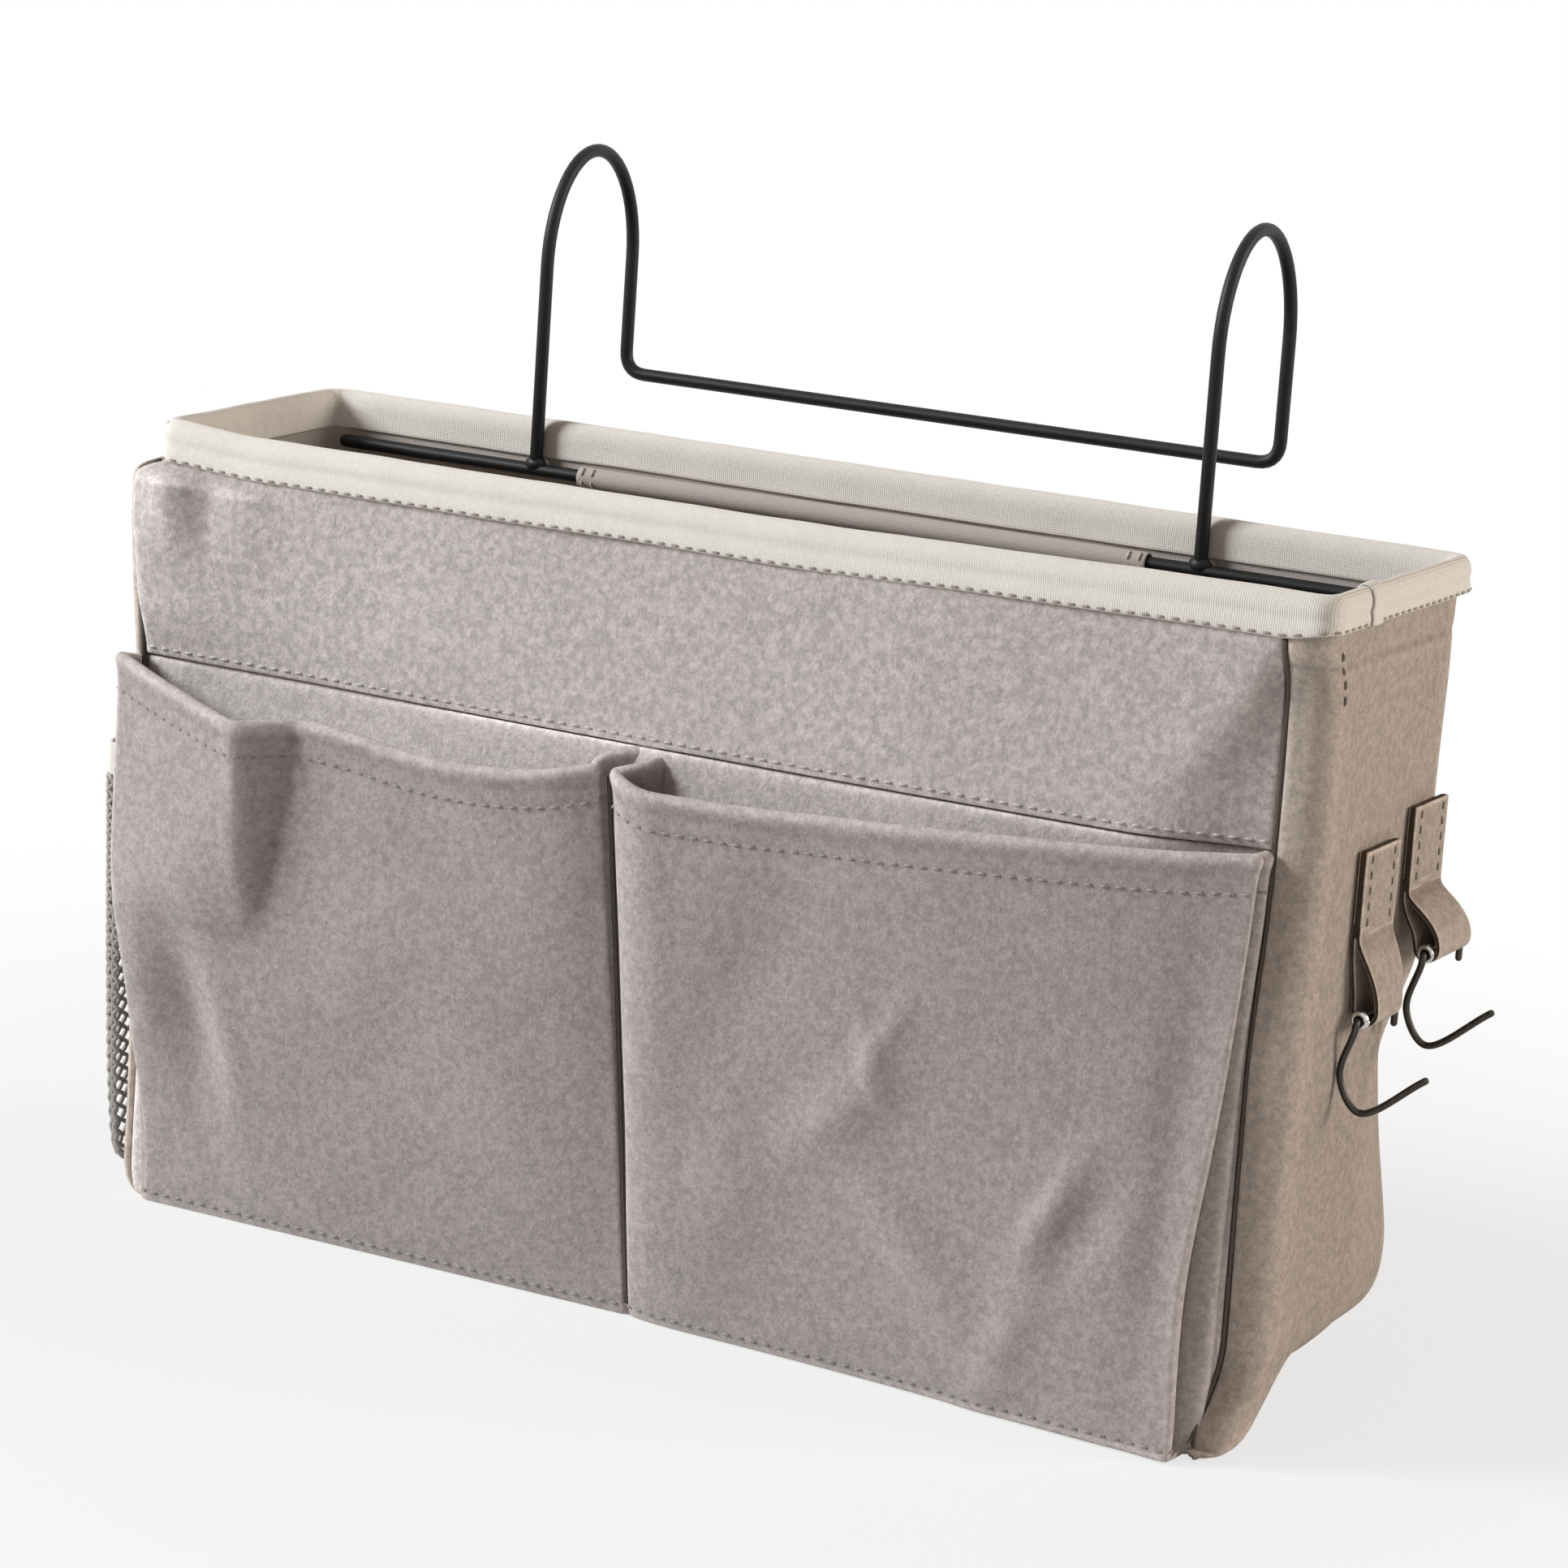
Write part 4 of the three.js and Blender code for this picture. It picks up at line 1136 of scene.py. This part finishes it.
RIGHT_POCKET = Pocket(
    seams=(((0, -6.7), (1, -8.2)), ((0, 171.5), (0.13, 174.5), (0.4, 175), (1, 175.4))),
    edges=(((0, -6.4), (0.5, -10.5), (1, -17)), ((0, 170.5), (0.27, 167), (0.55, 171.5), (1, 175.5))),
    mouth=((0, 12.4), (0.015, 15), (0.05, 17.2), (0.11, 16.4), (0.35, 13.8), (0.65, 10.8), (0.85, 6),
           (1, 1.2)),
    foot=((0, 0.8), (0.02, 1.9), (0.06, 3.0), (0.14, 3.8), (0.5, 8), (0.8, 13.6), (1, 16.6)),
    hem=((0, 161), (0.05, 157.8), (0.15, 157), (0.35, 158.4), (0.66, 161.8), (0.88, 164.2), (1, 166.4)),
    bow=(2.5, 0.0),
    rise=(4.0, 0.0),
    pleats=((0.0, 0.0), (5.0, 1.8)),
    marks=((74, 103, 60, 12, 3.4, 1.5), (70, 92, 108, 13, 3.6, 1.4), (62, 80, 46, 24, 9, 2.4),
           (127, 63, 62, 18, 4.2, 1.9), (136, 57, 62, 20, 6, -1.7), (88, 36, 132, 32, 9, 2.4),
           (30, 110, 70, 40, 14, -2.0), (20, 40, 80, 34, 12, 1.4), (118, 26, 70, 24, 7, 2.0),
           (160, 80, 88, 60, 7, -1.8)),
    crease=None,
)

LEFT_FACE, RIGHT_FACE = LEFT_POCKET.face(seed=71.0), RIGHT_POCKET.face(seed=83.0)
for end, face in (("left", LEFT_FACE), ("right", RIGHT_FACE)):
    whole = with_hem(face)
    cloth(f"{end}_bellows", whole, SHADED_POCKET_FELT, [f"{end}_pocket"], POCKET_CLOTH, 0.0)
    stitch_heights = (face[-1, :, 2] - HEM_HEIGHT, POCKET_FOOT_Z + FOOT_STITCH)
    pocket_lines = [line_on(face, z, POCKET_CLOTH / 2) for z in stitch_heights]
    stitches(f"{end}_pocket_stitches", pocket_lines, FELT_THREAD)

# A dark cord in the slit between the two pockets: painted shade of the deep gap
slit_up = np.linspace(*SLIT_UP, 40)
slit = LEFT_POCKET.side(1, np.full(len(slit_up), SLIT_SHARE), slit_up) + np.array(SLIT_SHIFT)
tubes("slit_shade", [slit], SEAM_CORD, CORD_SIDES, SEAM_SHADE_CORD)

panel_line = line_on(UPPER_FRONT, POCKET_SEAM_Z + PANEL_STITCH, 0.0)
stitches("panel_stitches", [panel_line], GREY_THREAD)


# Net pocket

def net_shift(u, v):
    """How far the net stands out from the side: u runs front to back, v from the foot to the top."""
    across = np.sin(math.pi * np.clip(u, 0, 1)) ** NET_END_CURVE
    return NET_BULGE * across * np.clip(v, 0, 1) ** NET_FOOT_CURVE


def net_points(shares, v, out):
    """Points of the net at even shares along its top edge, and v up, stood out a little more."""
    fine = np.linspace(0, 1, 801)
    along = distances(np.column_stack([net_shift(fine, 1.0), NET_WIDTH * fine]))
    u = np.interp(shares * along[-1], along, fine)
    y = between(-NET_WIDTH / 2, NET_WIDTH / 2, u)
    return points_at(NET_X - net_shift(u, v) - out, y, NET_FOOT_Z + NET_HEIGHT * v)


def net_strand(k):
    """One zigzag strand, which meets its neighbours in turn at every second bend."""
    rows = np.arange(2 * NET_ROWS + 1) / 2
    sign = (-1) ** k
    shares = (k + 0.5 + NET_SWING * np.cos(math.pi * rows) * sign) / NET_STRANDS
    return soften(net_points(shares, rows / NET_ROWS, NET_CROSSING * sign))


def band_grid():
    """Ribbed elastic along the net's top, its ribs gathered by the pull."""
    shares = np.linspace(1, 0, 141)
    up = BAND_UP[:, None]
    rib = BAND_RIB * np.sin(2 * math.pi * BAND_RIBS * shares) * np.sin(math.pi * up) ** 0.5
    grid = net_points(shares, 1.0, rib)
    grid[..., 2] += BAND_GAP + BAND_HEIGHT * up
    return grid


strands = [net_strand(k) for k in range(NET_STRANDS)]
tubes("net", strands, NET_CORD, NET_SIDES, NET_YARN_AND_HOLE_SHADE, "bag", ["side_net"])
cloth("net_elastic", band_grid(), ELASTIC, ["net_band"], BAND_CLOTH, 0.0)


# Hanger

def hanger_path():
    """Up a leg, over a hook, down to the crossbar and along it, and the same mirrored."""
    rear = BAR_Y + HOOK_GAP
    bend_x, bend_z = CROSSBAR_BEND - HOOK_X, CROSSBAR_BEND + CROSSBAR_Z
    turn = np.linspace(0, math.pi, 28)[1:]
    arch_y = BAR_Y + HOOK_GAP / 2 * (1 - np.cos(turn))
    half = np.concatenate([
        points_at(-HOOK_X, BAR_Y, np.linspace(BAR_Z + WIRE + LEG_GAP, HOOK_SPRING_Z, 14)),
        points_at(-HOOK_X, arch_y, HOOK_SPRING_Z + HOOK_ARCH * np.sin(turn)),
        points_at(-HOOK_X, rear, np.linspace(HOOK_SPRING_Z, bend_z, 8)[1:-1]),
        arc_bend((-HOOK_X, rear, bend_z), (-HOOK_X, rear, CROSSBAR_Z), (bend_x, rear, CROSSBAR_Z)),
        points_at(np.linspace(bend_x, 0, 24)[1:-1], rear, CROSSBAR_Z),
    ])
    return np.concatenate([half, [(0, rear, CROSSBAR_Z)], half[::-1] * (-1, 1, 1)])


def weld(name, x, rise=1.5, size=(3.6, 2.35, 2.9), lumps=0.10, lump_scale=2.3):
    """A bead of weld between a leg's foot and the bar."""
    work = bmesh.new()
    bmesh.ops.create_uvsphere(work, u_segments=20, v_segments=12, radius=1.0)
    for vert in work.verts:
        lump = 1 + lumps * noise.noise(vert.co * lump_scale + Vector((x, 0, 0)))
        vert.co = Vector((x, BAR_Y, BAR_Z + rise)) * MM + vert.co * Vector(size) * lump * MM
    mesh = bpy.data.meshes.new(name)
    work.to_mesh(mesh)
    work.free()
    mesh.shade_smooth()
    piece(name, mesh, BLACK_WIRE, "hanger")


def casing_grid():
    """Sleeve round the bar: up from its sewn tail, round the bar and back down."""
    wall, foot = BAR_Y + CASING_RADIUS, CASING_FOOT_Z + 0.4
    turn = np.linspace(0, CASING_TURN, 18)[1:]
    section = np.concatenate([
        [(wall, z) for z in np.linspace(foot, BAR_Z, 6)],
        np.column_stack([BAR_Y + CASING_RADIUS * np.cos(turn), BAR_Z + CASING_RADIUS * np.sin(turn)]),
        [(wall - CASING_LAYER, z) for z in np.linspace(BAR_Z - CASING_RADIUS - 1.2, foot, 4)],
    ])
    along = spread(2.5 - CASING_HALF, CASING_HALF - 2.5, CASING_STEP)[::-1]
    edge = np.array([CASING_HALF, CASING_HALF - 1.2])
    grid = points_at(np.concatenate([edge, along, -edge[::-1]]), section[:, :1], section[:, 1:])
    grid[..., 2] += swells(grid, (0.5, 30.0, 91.0)) * (grid[..., 2] < BAR_Z - 6)
    return grid


def sleeve_hem(x):
    """A row of stitches round the front of the sleeve's end."""
    turn = np.linspace(*SLEEVE_HEM_TURN, 12)
    out = points_at(0.0, np.cos(turn), np.sin(turn))
    return np.array((x, BAR_Y, BAR_Z)) + out * (CASING_RADIUS + CASING_CLOTH / 2), out


bar_path = points_at(np.linspace(WIRE - BAR_HALF, BAR_HALF - WIRE, 60), BAR_Y, BAR_Z)
wire("hanger_wire", hanger_path(), WIRE, WIRE_SIDES, BLACK_WIRE, "hanger", "hanger_loop")
wire("hanger_rod", bar_path, WIRE, WIRE_SIDES, BLACK_WIRE, "hanger", "hanger_bar")
weld("weld_left", -HOOK_X)
weld("weld_right", HOOK_X)
cloth("bar_sleeve", casing_grid(), LINING_CLOTH, ["bar_casing"], CASING_CLOTH, 0.0)
sleeve_line = points_at(np.linspace(CASING_HALF - 2, 2 - CASING_HALF, 60),
                        BAR_Y + CASING_RADIUS - SLEEVE_LINE[0], CASING_FOOT_Z + SLEEVE_LINE[1])
stitches("sleeve_stitches", [(sleeve_line, (0.0, -1.0, 0.0))], GREY_THREAD)
hem_places = [side * (CASING_HALF - inset) for side in (-1, 1) for inset in SLEEVE_HEMS]
stitches("sleeve_hem_stitches", [sleeve_hem(x) for x in hem_places], GREY_THREAD)


# Straps and side hooks

class Strap:
    """Where a strap's middle and top are, and how its loop hangs: its drop under the tab, how far its
    bend stands off the side, and how much of its width it keeps there."""

    def __init__(self, y, top, drop, stand_off, taper):
        self.y, self.top, self.drop, self.taper = y, top, drop, taper
        self.fold = top - TAB_HEIGHT
        self.bend_x = STRAP_X + LOOP_BEND + stand_off
        self.bend_z = self.fold - drop
        self.wire_z = self.bend_z - LOOP_BEND + HOOK_SEAT + HOOK_WIRE


def edged(length, edge, count):
    """Places across a strip, close together at its edges."""
    middle = np.linspace(STRAP_EDGE, length - STRAP_EDGE, count)
    return np.concatenate([[0, edge], middle, [length - edge, length]])


def tab_grid(strap):
    """The sewn part of a strap, two layers of cloth with rounded edges."""
    across, up = edged(STRAP_WIDTH, 0.7, 9), edged(TAB_LENGTH, 0.7, 9)[:, None]
    y, z = strap.y - STRAP_WIDTH / 2 + across, strap.top - TAB_LENGTH + up
    grid = points_at(STRAP_X + STRAP_CLOTH, y, z)
    from_middle = np.maximum(np.abs(across - STRAP_WIDTH / 2), np.abs(up - TAB_LENGTH / 2))
    pressed = TAB_DENT * bell(from_middle, STRAP_WIDTH / 2 - TAB_DENT_INSET, 1.0)
    return dent(grid, pressed + swells(grid, (0.12, 9.0, 101.0)))


def tab_stitch_lines(strap):
    """Two upright rows of stitching that hold a tab to the side cloth."""
    ends = np.array((strap.top - TAB_LENGTH + TAB_STITCH_END, strap.top - TAB_STITCH_END))
    reach = STRAP_WIDTH / 2 - TAB_STITCH
    places = (strap.y - reach, strap.y + reach)
    return [(points_at(STRAP_X + STRAP_CLOTH - 0.15, y, ends), (1.0, 0.0, 0.0)) for y in places]


def loop_section(strap):
    """Section of a folded strap in (x, z), from inside the tab down, round the bend and up again."""
    layer = STRAP_CLOTH / 2
    radius = LOOP_BEND + layer
    inside, outside = strap.bend_x - radius, strap.bend_x + radius
    down = np.linspace(0.2, 0.8, 4)
    down_x = between(STRAP_X - layer, inside, ease(down, 0, 1))
    turn = np.linspace(0, math.pi, 11)
    return np.concatenate([
        [(STRAP_X - layer, strap.fold + z) for z in LOOP_IN_TAB],
        np.column_stack([down_x, strap.fold - strap.drop * down]),
        np.column_stack([strap.bend_x - radius * np.cos(turn), strap.bend_z - radius * np.sin(turn)]),
        arc_bend((outside, strap.bend_z), (outside, strap.fold - strap.drop / 2),
                 (STRAP_X + layer, strap.fold))[1:-1],
        [(STRAP_X + layer, strap.fold + z) for z in LOOP_IN_TAB[::-1]],
    ])


def strap_loop(end, strap):
    """The folded strap that hangs under a tab, bent round at its foot."""
    name = f"loop_{end}"
    x, z = loop_section(strap)[..., None].swapaxes(0, 1)
    narrow = between(1.0, strap.taper, ease(strap.fold - z, 0, strap.drop))
    across = edged(STRAP_WIDTH, 0.6, 8)[::-1]
    grid = points_at(x, strap.y + (across - STRAP_WIDTH / 2) * narrow, z)
    obj = piece(name, sheet(name, grid), WARM_SHADED_FELT, None, [f"strap_loop_{end}"])
    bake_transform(obj)
    dark_edge_shade(thicken(obj, LOOP_CLOTH, 0.0))


def dark_edge_shade(obj):
    """Paints a strap's raw edges near black, as painted shade along them."""
    obj.data.materials.append(EDGE_SHADE_FELT)
    obj.modifiers["cloth"].material_offset_rim = 1


def side_hook_path(strap):
    """The crossbar in the strap's loop, its turned-down stop and its J."""
    x, z, r = strap.bend_x, strap.wire_z, HOOK_CORNER
    end = STRAP_WIDTH / 2 + HOOK_PLAY + HOOK_WIRE
    front, rear = strap.y - end, strap.y + end
    knots = points_at(
        x + np.array((0.0, -HOOK_CROOK, HOOK_CROOK, HOOK_REACH)), front,
        z - np.array((r, HOOK_KNEE, HOOK_DROP, HOOK_DROP - HOOK_TIP_RISE)),
    )
    return np.concatenate([
        points_at(x, rear, z - np.array((HOOK_STOP, HOOK_STOP / 2 + 1))),
        arc_bend((x, rear, z - r), (x, rear, z), (x, rear - r, z), 6),
        points_at(x, np.linspace(rear - r, front + r, 8)[1:-1], z),
        arc_bend((x, front + r, z), (x, front, z), (x, front, z - r), 6),
        smooth_path(knots, 14)[1:],
    ])


def hook_eye(strap):
    """Two bright turns of wire wound on the crossbar, just outside the strap's front edge."""
    turn = np.linspace(0, EYE_TURNS, 49)
    out, up = EYE_RADIUS * np.cos(turn), EYE_RADIUS * np.sin(turn)
    along = strap.y - STRAP_WIDTH / 2 - EYE_GAP + 2 * EYE_WIRE * turn / EYE_TURNS
    return points_at(strap.bend_x + out, along, strap.wire_z + up)


for end, strap in (
    ("front", Strap(y=-6.0, top=166.0, drop=19.0, stand_off=0.5, taper=0.72)),
    ("rear", Strap(y=28.0, top=173.0, drop=13.0, stand_off=5.0, taper=1.0)),
):
    tab = cloth(f"tab_{end}", tab_grid(strap), WARM_SHADED_FELT, [f"strap_tab_{end}"], TAB_CLOTH)
    dark_edge_shade(tab)
    stitches(f"tab_stitches_{end}", tab_stitch_lines(strap), NEEDLE_HOLE_SHADE)
    strap_loop(end, strap)
    wire(f"hook_{end}", side_hook_path(strap), HOOK_WIRE, HOOK_SIDES, STEEL_WIRE,
         f"hook_{end}", f"side_hook_{end}")
    tubes(f"eye_{end}", [hook_eye(strap)], EYE_WIRE, CORD_SIDES, BRIGHT_WIRE, f"hook_{end}")


# Stage, light and camera

def camera_rays(tree):
    """1 for what the camera sees, straight or in metal or glass."""
    rays = tree.nodes.new("ShaderNodeLightPath").outputs
    total = rays["Is Camera Ray"]
    for kind in ("Is Glossy Ray", "Is Transmission Ray"):
        total = add_node(tree, "Math", "Value", {0: total, 1: rays[kind]}, operation="MAXIMUM")
    return total


def floor_material():
    """A pale floor that keeps the shadow near the object and runs out to white."""
    look = Look("pale_floor")
    distance = look.add("VectorMath", "Value", {0: look.coordinates}, operation="LENGTH")
    run = {"Value": distance, "From Min": FLOOR_NEAR, "From Max": FLOOR_FAR, "To Min": FLOOR_WHITE}
    far = look.add("MapRange", "Result", run, interpolation_type="SMOOTHSTEP")
    share = look.add("Math", "Value", {0: far, 1: camera_rays(look.tree)}, operation="MULTIPLY")
    white = look.add("Emission", "Emission")
    surface = look.add("MixShader", "Shader", {"Fac": share, 1: look.shader.outputs["BSDF"], 2: white})
    put(look.tree.nodes["Material Output"].inputs["Surface"], surface)
    return look.made({
        "Base Color": (*grey(FLOOR_GREY), 1.0), "Roughness": 0.9, "Specular IOR Level": 0.1,
    })


def add_floor():
    mesh = bpy.data.meshes.new("floor")
    corners = [(x * FLOOR_HALF, y * FLOOR_HALF, 0) for x, y in ((-1, -1), (1, -1), (1, 1), (-1, 1))]
    mesh.from_pydata(corners, [], [(0, 1, 2, 3)])
    floor = bpy.data.objects.new("floor", mesh)
    mesh.materials.append(floor_material())
    bpy.context.scene.collection.objects.link(floor)


def add_lamp(name, place, size, power, colour):
    lamp = bpy.data.lights.new(name, "AREA")
    lamp.shape = "DISK"
    lamp.size = size
    lamp.energy = power
    lamp.color = colour
    obj = bpy.data.objects.new(name, lamp)
    obj.location = Vector(place)
    obj.rotation_mode = "QUATERNION"
    obj.rotation_quaternion = (Vector(LAMP_AIM) - Vector(place)).to_track_quat("-Z", "Y")
    bpy.context.scene.collection.objects.link(obj)


def add_world():
    """A warm dim light all round, and white where the camera sees it."""
    world = bpy.data.worlds.new("studio")
    bpy.context.scene.world = world
    world.use_nodes = True
    tree = world.node_tree
    soft = tree.nodes["Background"]
    put(soft.inputs["Color"], (*WORLD_COLOUR, 1.0))
    put(soft.inputs["Strength"], WORLD_LIGHT)
    seen = add_node(tree, "Background", "Background", {"Color": (*grey(1.0), 1.0), "Strength": 1.0})
    inputs = {"Fac": camera_rays(tree), 1: soft.outputs["Background"], 2: seen}
    put(tree.nodes["World Output"].inputs["Surface"], add_node(tree, "MixShader", "Shader", inputs))


def add_camera():
    azimuth, elevation, roll = (math.radians(v) for v in (VIEW_AZIMUTH, VIEW_ELEVATION, VIEW_ROLL))
    back = Vector((
        math.sin(azimuth) * math.cos(elevation),
        -math.cos(azimuth) * math.cos(elevation),
        math.sin(elevation),
    ))
    level = Vector((math.cos(azimuth), math.sin(azimuth), 0))
    right = math.cos(roll) * level + math.sin(roll) * back.cross(level)
    camera = bpy.data.cameras.new("camera")
    camera.lens = LENS
    camera.sensor_width = SENSOR
    camera.shift_x, camera.shift_y = SHIFT
    obj = bpy.data.objects.new("camera", camera)
    turn = Matrix((right, back.cross(right), back)).transposed().to_4x4()
    obj.matrix_world = Matrix.Translation((Vector(VIEW_TARGET) + back * VIEW_DISTANCE) * MM) @ turn
    bpy.context.scene.collection.objects.link(obj)
    bpy.context.scene.camera = obj


add_floor()
add_world()
add_lamp("key", (-2.17, -1.35, 1.55), size=1.1, power=92.0, colour=(0.98, 0.995, 1.0))
add_lamp("side_fill", (2.2, 0.9, 1.0), size=1.2, power=33.0, colour=(1.0, 0.90, 0.78))
add_camera()
bpy.context.scene.view_settings.view_transform = "Standard"
